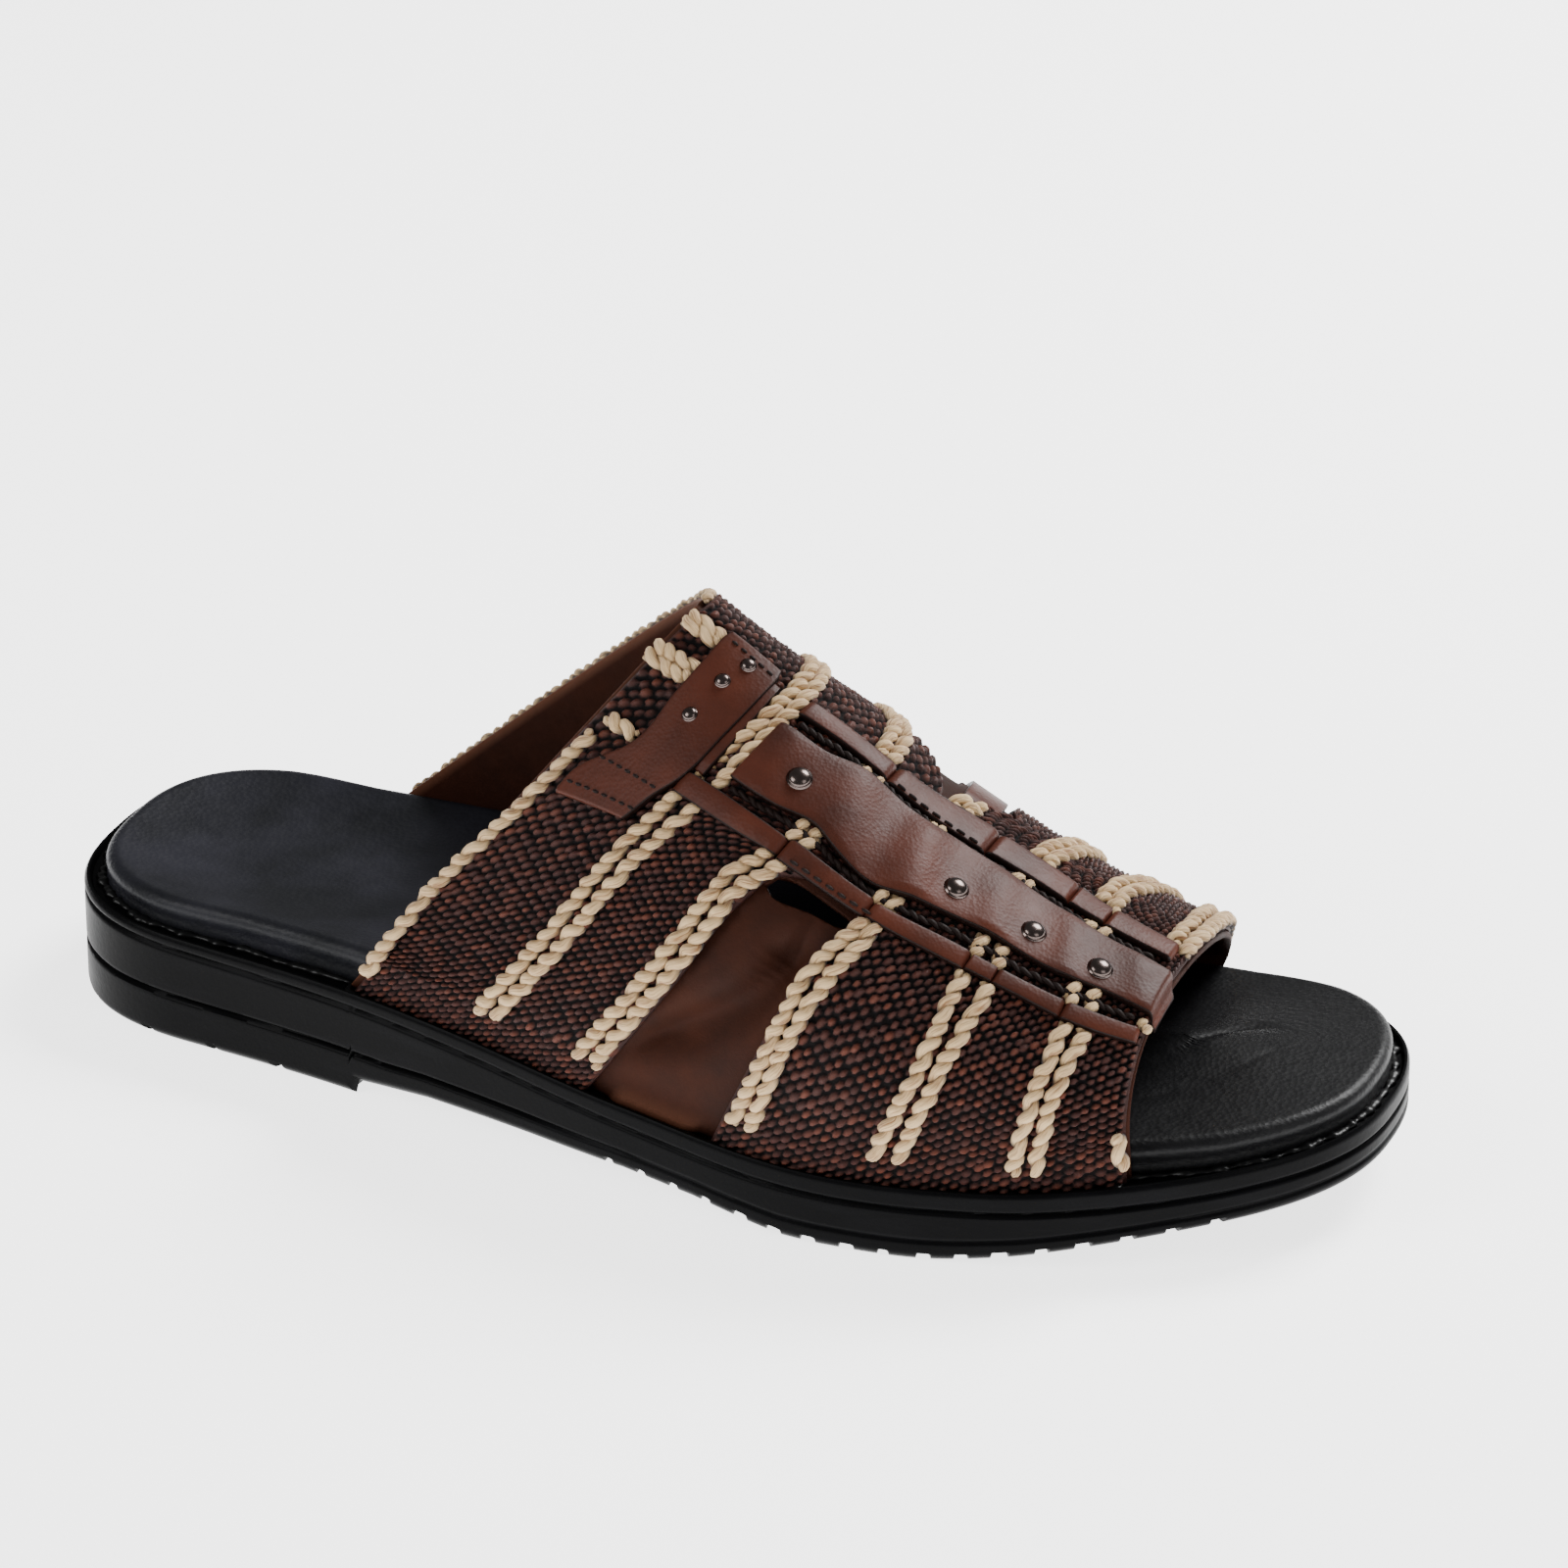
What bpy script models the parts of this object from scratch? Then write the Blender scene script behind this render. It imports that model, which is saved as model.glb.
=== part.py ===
"""A right open-toe slide with a woven and leather upper on a moulded rubber sole.

Metres, +X toward the toe, +Y toward the big toe's side (medial), +Z up. The origin is under the middle of
the sole on the floor. Shares along the shoe are measured from the back of the heel. The upper is one
surface with two shares of its own: s runs from the collar (0) to the toe opening (1), and t runs from the
foot of the lateral wall (-1) over the instep (0) to the foot of the medial wall (1). Every layer of the
upper is that surface at its own height, so that straps, bands and lining stay parallel.
"""

import math

import bmesh
import bpy
import numpy as np
from mathutils import Matrix, Vector

# Sole
SOLE_LENGTH = 0.288
BALL_WIDTH = 0.1033
TOE_DRIFT = 0.0064
HEEL_CAP = 0.036
TOE_CAP = 0.070
HEEL_SQUARENESS = 2.6
TOE_SQUARENESS = 2.28
RIM_HEIGHT = 0.0263
RIM_LIP = 0.0015
TRAY_DEPTH = 0.0012
HEEL_BLOCK = 0.0765
BREAST_STEP = 0.0032
BREAST_SLOPE = 0.0012
TOE_SPRING = 0.0110
GROOVE_DEPTH = 0.0008
GROOVE_WIDTH = 0.0012
UPPER_GROOVE_DROP = 0.0046
LOWER_GROOVE_DROP = 0.0140
LUG_WIDTH = 0.0026
LUG_DEPTH = 0.0018
LUG_REACH = 0.0070
HEEL_LUG_PITCH = 0.0160
TOE_LUG_PITCH = 0.0078
# Where the notches of heel and forefoot start and end, as shares of their pitch and of the length
HEEL_LUG_START = 0.6
TOE_LUGS = (0.49, 0.93)

# Footbed
FOOTBED_RISE = 0.0074
FOOTBED_ROUND = 0.0023
HEEL_CUP = 0.0040
ARCH_PAD = 0.0022
# The arch pad's middle and spread, along the length and across from -1 lateral to 1 medial
ARCH_ALONG = (0.42, 0.13)
ARCH_ACROSS = (0.6, 0.4)
BOWL_SQUARENESS = 2.4

# Upper
INSTEP_HEIGHT = 0.1030
WALL_RISE = 0.0085
LINING = 0.0012
WEBBING = 0.0018
BRAID_RISE = 0.0008
STRAP = 0.0016
RAIL = 0.0013
SIDE_STRAP = 0.0012
FIT = 0.00035
WINDOW_REACH = 0.010

# Metal
RIVET_RADIUS = 0.0024
RIVET_HEIGHT = 0.0017
STUD_RADIUS = 0.0015
STUD_HEIGHT = 0.0010
HEAD_SKIRT = 0.2
RIVET_FIT = 0.0003

# Share of length, then lateral and medial half widths as shares of the ball width
OUTLINE = (
    (0.00, 0.340, 0.346),
    (0.10, 0.364, 0.353),
    (0.22, 0.402, 0.361),
    (0.36, 0.475, 0.364),
    (0.50, 0.560, 0.372),
    (0.64, 0.613, 0.387),
    (0.78, 0.560, 0.414),
    (0.90, 0.475, 0.460),
    (1.00, 0.427, 0.530),
)
# Share of length, then height of the rim's top as a share of the rim height
RIM = ((0.0, 1.0), (0.15, 0.94), (0.30, 0.905), (0.50, 0.74), (0.70, 0.62), (0.85, 0.70), (1.0, 0.865))
# Share of length, then height of the tread under heel and forefoot as a share of the toe spring
TREAD = ((0.00, 0.14), (0.03, 0.0), (0.26, 0.0))
WAIST = ((0.27, 0.0), (0.33, 0.13), (0.42, 0.15), (0.50, 0.14), (0.56, 0.03), (0.63, -0.26))
FOREFOOT = ((0.66, 0.0), (0.74, 0.0), (0.79, 0.17), (0.85, 0.43), (0.92, 0.72), (1.0, 1.0))
# Share of length, then the upper groove's drop and the lower groove's depth as shares of their full size
UPPER_GROOVE = ((0.0, 0.5), (0.6, 1.0), (1.0, 1.0))
LOWER_GROOVE = ((0.0, 1.5), (0.42, 1.5), (0.52, 0.5), (1.0, 0.5))
LOWER_GROOVE_SHARE = 0.70
# Share of length, then the footbed's edge above the rim as a share of the footbed rise
BED_EDGE = ((0.0, 0.65), (0.12, 0.81), (0.50, 1.0), (1.0, 0.76))
# Share of length, then how far the footbed stands off the place beside the upper, as a share of the rim's lip
BED_SPREAD = ((0.0, 0.9), (0.08, 0.9), (0.15, 0.0), (0.87, 0.0), (0.93, 1.2), (1.0, 1.4))
# Share of length, then how deep the footbed is dished, as a share of the heel cup
BED_DISH = ((0.0, 0.4), (0.12, 1.0), (0.30, 0.62), (0.50, 0.25), (0.70, 0.2), (0.85, 0.36), (1.0, 0.1))

# Where the upper starts and ends along the sole, as shares of length
LATERAL_BASE = (0.260, 0.862)
MEDIAL_BASE = (0.165, 0.815)
RIDGE = (0.466, 0.856)
# s, then the ridge's sideways place as a share of the ball width and its height as a share of the instep
RIDGE_LINE = (
    (0.00, 0.050, 1.000),
    (0.15, 0.030, 0.905),
    (0.30, 0.010, 0.825),
    (0.50, -0.010, 0.695),
    (0.75, -0.010, 0.560),
    (1.00, -0.005, 0.466),
)
# s, then how square the lateral and the medial shoulder are: 2 is an ellipse
SHOULDER = ((0.0, 1.15, 2.18), (0.25, 2.0, 2.3), (0.5, 2.6, 2.4), (0.75, 2.6, 2.0), (1.0, 2.38, 1.5))
RISE_SHARE = 0.92

# Edges of the bands, t then s
REAR_BAND_FRONT = (
    (-1.0, 0.348),
    (-0.75, 0.362),
    (-0.5, 0.370),
    (-0.42, 0.386),
    (-0.35, 0.450),
    (-0.28, 0.488),
    (-0.1, 0.494),
    (0.04, 0.490),
    (0.12, 0.460),
    (0.26, 0.390),
    (0.6, 0.370),
    (1.0, 0.385),
)
FRONT_BAND_REAR = (
    (-1.0, 0.520),
    (-0.75, 0.508),
    (-0.55, 0.500),
    (-0.38, 0.516),
    (-0.3, 0.514),
    (-0.1, 0.512),
    (0.04, 0.512),
    (0.09, 0.550),
    (0.14, 0.600),
    (0.25, 0.602),
    (1.0, 0.600),
)
BAND_HEM = 0.012
# Raised braids across a band, as shares of its own width from rear to front
REAR_BRAIDS = ((0.0, 0.06), (0.44, 0.60), (0.87, 1.0))
FRONT_BRAIDS = ((0.0, 0.11), (0.37, 0.51), (0.72, 0.83), (0.96, 1.0))
BRAID_ZONES = ((-0.985, -0.500), (0.10, 0.985))
BRAID_RAMP = 0.012

# Edges of the straps, s then the lateral and the medial edge's t
CENTRE_STRAP_EDGES = (
    (0.240, -0.325, -0.140),
    (0.320, -0.306, -0.130),
    (0.385, -0.280, -0.090),
    (0.430, -0.292, -0.080),
    (0.510, -0.297, -0.076),
    (0.570, -0.267, -0.062),
    (0.685, -0.245, -0.064),
    (0.820, -0.275, -0.086),
    (0.930, -0.305, -0.118),
    (0.998, -0.370, -0.140),
)
RAIL_LATERAL_EDGES = (
    (0.200, -0.405, -0.352),
    (0.300, -0.402, -0.345),
    (0.390, -0.388, -0.338),
    (0.530, -0.376, -0.328),
    (0.660, -0.370, -0.312),
    (0.800, -0.396, -0.338),
    (0.900, -0.445, -0.372),
    (0.985, -0.485, -0.412),
)
RAIL_MEDIAL_EDGES = (
    (0.245, -0.105, -0.045),
    (0.375, -0.070, -0.020),
    (0.535, -0.052, 0.000),
    (0.700, -0.040, 0.012),
    (0.820, -0.055, 0.000),
    (0.975, -0.085, -0.015),
)
# Edges of the two straps that run across, t then s at their rear and front
CROSS_STRAP_EDGES = (
    (-0.485, 0.050, 0.165),
    (-0.440, 0.055, 0.168),
    (-0.370, 0.090, 0.186),
    (-0.250, 0.086, 0.190),
    (-0.040, 0.070, 0.184),
)
SIDE_STRAP_EDGES = ((0.16, 0.520, 0.588), (0.30, 0.522, 0.590), (0.985, 0.522, 0.590))
# Windows in the lining, corners as s and t
LATERAL_WINDOW = (
    (0.378, -0.452),
    (0.400, -0.466),
    (0.430, -0.456),
    (0.465, -0.438),
    (0.498, -0.430),
    (0.516, -0.412),
    (0.510, -0.392),
    (0.465, -0.392),
    (0.420, -0.398),
    (0.388, -0.415),
)
MEDIAL_WINDOW = (
    (0.392, 0.24),
    (0.412, 0.17),
    (0.490, 0.17),
    (0.508, 0.22),
    (0.510, 0.40),
    (0.508, 0.57),
    (0.490, 0.62),
    (0.415, 0.62),
    (0.390, 0.55),
    (0.386, 0.40),
)
# Rivets on the centre strap and studs on the cross strap, s and t
RIVETS = ((0.323, -0.226), (0.613, -0.180), (0.757, -0.184), (0.885, -0.222))
STUDS = ((0.135, -0.098), (0.126, -0.170), (0.128, -0.267))

# Fineness of the faceted solids
SOLE_STATIONS = 34
STATION_GAP = 0.006
FOOTBED_COLUMNS = 8
UPPER_COLUMNS = 32
LINING_ROWS = 17
STRAP_ROWS = 24

RUBBER = ("rubber_black", (0.012, 0.012, 0.014), 0.42, 0.0)
FOOTBED_LEATHER = ("leather_charcoal", (0.022, 0.023, 0.027), 0.45, 0.0)
LINING_LEATHER = ("leather_lining_brown", (0.060, 0.026, 0.015), 0.62, 0.0)
WEBBING_BROWN = ("webbing_dark_brown", (0.045, 0.016, 0.010), 0.68, 0.0)
STRAP_LEATHER = ("leather_strap_brown", (0.110, 0.036, 0.022), 0.36, 0.0)
GUNMETAL = ("gunmetal", (0.060, 0.055, 0.052), 0.30, 1.0)


def smooth_curve(table, column, at):
    """Value of a table's column at the given places, on a smooth curve through its rows."""
    rows = np.asarray(table, dtype=float)
    knots = rows[:, 0]
    values = rows[:, column]
    slopes = np.gradient(values, knots)
    at = np.clip(np.asarray(at, dtype=float), knots[0], knots[-1])
    left = np.clip(np.searchsorted(knots, at, side="right") - 1, 0, len(knots) - 2)
    width = knots[left + 1] - knots[left]
    part = (at - knots[left]) / width
    rest = 1.0 - part
    return (
        values[left] * (1.0 + 2.0 * part) * rest**2
        + slopes[left] * width * part * rest**2
        + values[left + 1] * part**2 * (3.0 - 2.0 * part)
        - slopes[left + 1] * width * part**2 * rest
    )


def straight_curve(table, column, at):
    """Value of a table's column at the given places, on straight lines through its rows."""
    rows = np.asarray(table, dtype=float)
    return np.interp(at, rows[:, 0], rows[:, column])


def tip_rounding(share):
    """How far the half width has closed at each share of the length: 1 between the rounded ends."""
    from_heel = np.clip(np.asarray(share, dtype=float) * SOLE_LENGTH / HEEL_CAP, 0.0, 1.0)
    from_toe = np.clip((1.0 - np.asarray(share, dtype=float)) * SOLE_LENGTH / TOE_CAP, 0.0, 1.0)
    heel = (1.0 - (1.0 - from_heel) ** HEEL_SQUARENESS) ** (1.0 / HEEL_SQUARENESS)
    toe = (1.0 - (1.0 - from_toe) ** TOE_SQUARENESS) ** (1.0 / TOE_SQUARENESS)
    return heel * toe


def sole_x(share, inset):
    """X at a share of the length of the outline that lies the given inset inside the rim."""
    return inset + (SOLE_LENGTH - 2.0 * inset) * share - SOLE_LENGTH / 2.0


def outline_share(x, inset):
    """Share of the length of the outline at X, for the outline that lies the given inset inside the rim."""
    return (x + SOLE_LENGTH / 2.0 - inset) / (SOLE_LENGTH - 2.0 * inset)


def sole_y(share, side, inset):
    """Y of the outline's edge, before the sole is centred. Side is -1 for lateral and 1 for medial."""
    column_widths = np.where(
        np.asarray(side) < 0, smooth_curve(OUTLINE, 1, share), smooth_curve(OUTLINE, 2, share)
    )
    half_width = (column_widths * BALL_WIDTH - inset) * tip_rounding(share)
    return TOE_DRIFT * np.asarray(share) + side * half_width


def side_shift():
    """How far the sole moves sideways so that its two sides lie as far from the origin."""
    share = np.linspace(0.0, 1.0, 400)
    return -(sole_y(share, -1.0, 0.0).min() + sole_y(share, 1.0, 0.0).max()) / 2.0


SIDE_SHIFT = side_shift()


def rim_z(share):
    """Height of the rim's top edge."""
    return smooth_curve(RIM, 1, share) * RIM_HEIGHT


def tray_z(share):
    """Height of the flat that the footbed and the upper stand on."""
    return rim_z(share) - TRAY_DEPTH


def tread_z(share):
    """Height of the tread: flat heel block, a step up to the waist, flat forefoot, and the toe spring."""
    share = np.asarray(share, dtype=float)
    heel_end = HEEL_BLOCK / SOLE_LENGTH
    heel = straight_curve(TREAD, 1, share) * TOE_SPRING
    waist = BREAST_STEP + straight_curve(WAIST, 1, share) * TOE_SPRING
    forefoot = straight_curve(FOREFOOT, 1, share) * TOE_SPRING
    behind_ball = np.clip((share - WAIST[-1][0]) / (FOREFOOT[0][0] - WAIST[-1][0]), 0.0, 1.0)
    front = waist * (1.0 - behind_ball) + forefoot * behind_ball
    return np.where(share <= heel_end, heel, front)


def sole_stations():
    """Shares of the length at which the sole has sections, closer at the ends and at the heel's breast."""
    even = (1.0 - np.cos(np.linspace(0.0, math.pi, SOLE_STATIONS))) / 2.0
    breast = HEEL_BLOCK / SOLE_LENGTH
    flats = (TREAD[1][0], FOREFOOT[0][0], FOREFOOT[1][0])
    marks = [breast, breast + BREAST_SLOPE / SOLE_LENGTH, *flats]
    kept = [share for share in even if min(abs(share - mark) for mark in marks) > STATION_GAP]
    return np.array(sorted(kept + marks))


def ring_points(stations, inset, height):
    """Corners of one closed ring: along the lateral edge to the toe and back along the medial edge."""
    inset = np.broadcast_to(inset, stations.shape)
    height = np.broadcast_to(height, stations.shape)
    x = sole_x(stations, inset)
    lateral = np.stack([x, sole_y(stations, -1.0, inset) + SIDE_SHIFT, height], axis=1)
    medial = np.stack([x, sole_y(stations, 1.0, inset) + SIDE_SHIFT, height], axis=1)
    return np.concatenate([lateral, medial[-2:0:-1]])


def add_points(mesh, points):
    """Adds the points to the mesh and returns its new vertices in order."""
    return [mesh.verts.new(Vector(point)) for point in points]


def bridge_rings(mesh, lower, upper):
    """Joins two rings of equal size with a band of four-sided faces."""
    count = len(lower)
    for index in range(count):
        following = (index + 1) % count
        mesh.faces.new((lower[index], lower[following], upper[following], upper[index]))


def close_ring(mesh, ring, columns, height_at):
    """Fills a ring with rows that run from its lateral to its medial edge.

    height_at takes a row's number and the shares across the row, and returns how far each point is raised.
    """
    last = len(ring) // 2
    rows = []
    for index in range(1, last):
        near = ring[index]
        far = ring[-index]
        shares = np.linspace(0.0, 1.0, columns + 1)[1:-1]
        raised = height_at(index, shares)
        inner = [
            mesh.verts.new(near.co.lerp(far.co, share) + Vector((0.0, 0.0, rise)))
            for share, rise in zip(shares, raised)
        ]
        rows.append([near, *inner, far])
    for first, second in zip(rows, rows[1:]):
        for column in range(columns):
            mesh.faces.new((first[column], first[column + 1], second[column + 1], second[column]))
    for column in range(columns):
        mesh.faces.new((ring[0], rows[0][column], rows[0][column + 1]))
        mesh.faces.new((ring[last], rows[-1][column], rows[-1][column + 1]))


def flat_across(_row, shares):
    """No rise anywhere across a row."""
    return np.zeros(len(shares))


def finish_mesh(name, mesh, material, collection):
    """Makes an object of the bmesh, with its faces pointing out, smooth shading and one material."""
    bmesh.ops.recalc_face_normals(mesh, faces=mesh.faces)
    data = bpy.data.meshes.new(name)
    mesh.to_mesh(data)
    mesh.free()
    data.shade_smooth()
    data.set_sharp_from_angle(angle=math.radians(35.0))
    if material is not None:
        data.materials.append(material)
    made = bpy.data.objects.new(name, data)
    collection.objects.link(made)
    return made


def make_material(finish):
    """A Principled material from a name, a base colour, a roughness and a metallic value."""
    name, colour, roughness, metallic = finish
    material = bpy.data.materials.new(name)
    material.use_nodes = True
    shader = material.node_tree.nodes["Principled BSDF"]
    shader.inputs["Base Color"].default_value = (*colour, 1.0)
    shader.inputs["Roughness"].default_value = roughness
    shader.inputs["Metallic"].default_value = metallic
    return material


def make_cutter(name, mesh, collection):
    """Makes a hidden cutter of the bmesh."""
    cutter = finish_mesh(name, mesh, None, collection)
    cutter.hide_render = True
    cutter.display_type = "WIRE"
    return cutter


def cut_away(target, cutter):
    """Takes the cutter away from the target."""
    modifier = target.modifiers.new(f"cut_{cutter.name}", "BOOLEAN")
    modifier.operation = "DIFFERENCE"
    modifier.solver = "EXACT"
    modifier.object = cutter


def build_outsole(material, collection, cutters):
    """The rubber sole: rim, two side grooves, heel block, waist, toe spring and notched tread edge."""
    stations = sole_stations()
    rim = rim_z(stations)
    tread = tread_z(stations)
    wall = rim - tread
    upper_groove = rim - UPPER_GROOVE_DROP * straight_curve(UPPER_GROOVE, 1, stations)
    lower_groove = rim - np.minimum(LOWER_GROOVE_DROP, LOWER_GROOVE_SHARE * wall)
    lower_depth = GROOVE_DEPTH * straight_curve(LOWER_GROOVE, 1, stations)
    half_groove = GROOVE_WIDTH / 2.0
    # From the tray over the rim and down the side to the tread: inset, then height
    rings = (
        (RIM_LIP, rim - TRAY_DEPTH),
        (RIM_LIP * 0.7, rim - TRAY_DEPTH * 0.2),
        (RIM_LIP * 0.35, rim),
        (0.0, rim - RIM_LIP * 0.4),
        (0.0, upper_groove + half_groove),
        (GROOVE_DEPTH, upper_groove),
        (0.0, upper_groove - half_groove),
        (GROOVE_DEPTH * 0.5, lower_groove + half_groove),
        (lower_depth, lower_groove),
        (GROOVE_DEPTH * 0.5, lower_groove - half_groove),
        (RIM_LIP * 0.5, tread + LUG_DEPTH),
        (RIM_LIP * 1.2, tread),
    )
    mesh = bmesh.new()
    made = [add_points(mesh, ring_points(stations, inset, height)) for inset, height in rings]
    for upper, lower in zip(made, made[1:]):
        bridge_rings(mesh, lower, upper)
    close_ring(mesh, made[0], 2, flat_across)
    close_ring(mesh, made[-1], 2, flat_across)
    outsole = finish_mesh("outsole", mesh, material, collection)
    cut_away(outsole, build_lug_cutter(cutters))
    return outsole


def lug_places():
    """Shares of the length that have a notch in the tread's edge."""
    heel_count = int(HEEL_BLOCK / HEEL_LUG_PITCH)
    heel = [(HEEL_LUG_START + index) * HEEL_LUG_PITCH / SOLE_LENGTH for index in range(heel_count)]
    start, end = TOE_LUGS
    toe_count = int((end - start) * SOLE_LENGTH / TOE_LUG_PITCH)
    toe = [start + index * TOE_LUG_PITCH / SOLE_LENGTH for index in range(toe_count + 1)]
    return heel + toe


def build_lug_cutter(cutters):
    """One block for each notch, square to the sole's edge."""
    mesh = bmesh.new()
    step = LUG_WIDTH / SOLE_LENGTH
    for share in lug_places():
        for side in (-1.0, 1.0):
            ends = np.array([share - step, share + step])
            x = sole_x(ends, 0.0)
            y = sole_y(ends, side, 0.0) + SIDE_SHIFT
            turn = math.atan2(y[1] - y[0], x[1] - x[0])
            size = Matrix.Diagonal((LUG_WIDTH, 2.0 * LUG_REACH, 2.0 * LUG_DEPTH, 1.0))
            place = Matrix.Translation((x.mean(), y.mean(), float(tread_z(share))))
            bmesh.ops.create_cube(mesh, size=1.0, matrix=place @ Matrix.Rotation(turn, 4, "Z") @ size)
    return make_cutter("tread_notches", mesh, cutters)


def footbed_inset():
    """How far the footbed's side stands inside the rim: clear of the band and the lining."""
    return lining_inset() + FIT


def lining_inset():
    """How far the lining's inner face stands inside the rim."""
    return RIM_LIP + FIT + WEBBING + FIT + LINING


def build_footbed(material, collection):
    """The leather-covered footbed: upright side, rounded edge, heel cup, arch pad and dished ball."""
    stations = sole_stations()
    inset = footbed_inset() - straight_curve(BED_SPREAD, 1, stations) * RIM_LIP
    edge = rim_z(stations) + smooth_curve(BED_EDGE, 1, stations) * FOOTBED_RISE
    dish = smooth_curve(BED_DISH, 1, stations) * HEEL_CUP
    middle, spread = ARCH_ALONG
    arch = ARCH_PAD * np.exp(-(((stations - middle) / spread) ** 2))
    side, width = ARCH_ACROSS
    rings = (
        (inset, tray_z(stations) + FIT),
        (inset, edge - FOOTBED_ROUND),
        (inset + FOOTBED_ROUND * 0.29, edge - FOOTBED_ROUND * 0.29),
        (inset + FOOTBED_ROUND, edge),
    )

    def hollow(row, shares):
        across = 2.0 * shares - 1.0
        bowl = -dish[row] * (1.0 - np.abs(across) ** BOWL_SQUARENESS)
        pad = arch[row] * np.exp(-(((across - side) / width) ** 2))
        return bowl + pad

    mesh = bmesh.new()
    made = [add_points(mesh, ring_points(stations, size, height)) for size, height in rings]
    for lower, upper in zip(made, made[1:]):
        bridge_rings(mesh, lower, upper)
    close_ring(mesh, made[0], 2, flat_across)
    close_ring(mesh, made[-1], FOOTBED_COLUMNS, hollow)
    return finish_mesh("footbed", mesh, material, collection)


def upper_skeleton(s, t):
    """The lining's inner face at s and t: an upright foot beside the footbed, then an arch to the ridge."""
    s, t = np.broadcast_arrays(np.asarray(s, dtype=float), np.asarray(t, dtype=float))
    lateral = t < 0.0
    reach = np.abs(t)
    inset = lining_inset()
    start = np.where(lateral, LATERAL_BASE[0], MEDIAL_BASE[0])
    end = np.where(lateral, LATERAL_BASE[1], MEDIAL_BASE[1])
    base_x = (start + (end - start) * s) * SOLE_LENGTH - SOLE_LENGTH / 2.0
    foot_z = tray_z(outline_share(base_x, inset)) + FIT
    ridge_x = (RIDGE[0] + (RIDGE[1] - RIDGE[0]) * s) * SOLE_LENGTH - SOLE_LENGTH / 2.0
    ridge_y = smooth_curve(RIDGE_LINE, 1, s) * BALL_WIDTH + SIDE_SHIFT
    ridge_z = smooth_curve(RIDGE_LINE, 2, s) * INSTEP_HEIGHT
    power = 2.0 / np.where(lateral, smooth_curve(SHOULDER, 1, s), smooth_curve(SHOULDER, 2, s))
    angle = np.clip((RISE_SHARE - reach) / RISE_SHARE, 0.0, 1.0) * math.pi / 2.0
    inward = np.clip(np.cos(angle), 0.0, 1.0) ** power
    upward = np.clip(np.sin(angle), 0.0, 1.0) ** power
    foot = WALL_RISE * np.clip((1.0 - reach) / (1.0 - RISE_SHARE), 0.0, 1.0)
    z = foot_z + foot + (ridge_z - foot_z - WALL_RISE) * upward
    lean = (ridge_x - base_x) / (ridge_z - foot_z)
    wall_share = outline_share(base_x + lean * foot, inset)
    wall_y = sole_y(wall_share, np.where(lateral, -1.0, 1.0), inset) + SIDE_SHIFT
    x = base_x + lean * (z - foot_z)
    y = ridge_y + (wall_y - ridge_y) * inward
    return np.stack([x, y, z], axis=-1)


def upper_normal(s, t):
    """The direction that points out of the upper at s and t."""
    step = 0.004
    s = np.asarray(s, dtype=float)
    t = np.asarray(t, dtype=float)
    along = upper_skeleton(s + step, t) - upper_skeleton(s - step, t)
    over = upper_skeleton(s, np.minimum(t + step, 1.0)) - upper_skeleton(s, np.maximum(t - step, -1.0))
    normal = np.cross(along, over)
    return normal / np.linalg.norm(normal, axis=-1, keepdims=True)


def upper_point(s, t, height):
    """The point that lies the given height outside the lining's inner face."""
    return upper_skeleton(s, t) + upper_normal(s, t) * np.asarray(height, dtype=float)[..., None]


def layer(name, s, t, inner, outer, material, collection):
    """A closed sheet between two heights over the grid of s and t."""
    inner = np.broadcast_to(inner, s.shape)
    outer = np.broadcast_to(outer, s.shape)
    rows, columns = s.shape
    mesh = bmesh.new()
    faces = []
    for height in (inner, outer):
        flat = add_points(mesh, upper_point(s, t, height).reshape(-1, 3))
        faces.append([flat[row * columns : (row + 1) * columns] for row in range(rows)])
    for grid in faces:
        for row in range(rows - 1):
            for column in range(columns - 1):
                mesh.faces.new(
                    (
                        grid[row][column],
                        grid[row][column + 1],
                        grid[row + 1][column + 1],
                        grid[row + 1][column],
                    )
                )
    borders = [border_of(grid) for grid in faces]
    bridge_rings(mesh, borders[0], borders[1])
    return finish_mesh(name, mesh, material, collection)


def border_of(grid):
    """The vertices round the edge of a grid, in order."""
    first = grid[0]
    last = grid[-1]
    right = [row[-1] for row in grid[1:-1]]
    left = [row[0] for row in grid[1:-1]]
    return [*first, *right, *last[::-1], *left[::-1]]


def across_lines():
    """The lines of t that all bands and the lining share."""
    side = np.linspace(0.0, RISE_SHARE, UPPER_COLUMNS // 2 - 1)
    half = np.concatenate([side, [(1.0 + RISE_SHARE) / 2.0, 1.0]])
    return np.concatenate([-half[:0:-1], half])


def window_cutter(name, corners, cutters):
    """A prism through the lining with the window's outline."""
    corners = np.asarray(corners)
    mesh = bmesh.new()
    count = len(corners)
    low = upper_point(corners[:, 0], corners[:, 1], np.full(count, -WINDOW_REACH / 2.0))
    high = upper_point(corners[:, 0], corners[:, 1], np.full(count, LINING + WINDOW_REACH))
    inside = add_points(mesh, low)
    outside = add_points(mesh, high)
    bridge_rings(mesh, inside, outside)
    mesh.faces.new(inside)
    mesh.faces.new(outside)
    return make_cutter(name, mesh, cutters)


def build_lining(material, collection, cutters):
    """The leather lining: one open tunnel from the collar to the toe opening, with a window in each side."""
    s, t = np.meshgrid(np.linspace(0.0, 1.0, LINING_ROWS), across_lines(), indexing="ij")
    lining = layer("upper_lining", s, t, 0.0, LINING, material, collection)
    cut_away(lining, window_cutter("lateral_window", LATERAL_WINDOW, cutters))
    cut_away(lining, window_cutter("medial_window", MEDIAL_WINDOW, cutters))
    return lining


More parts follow.
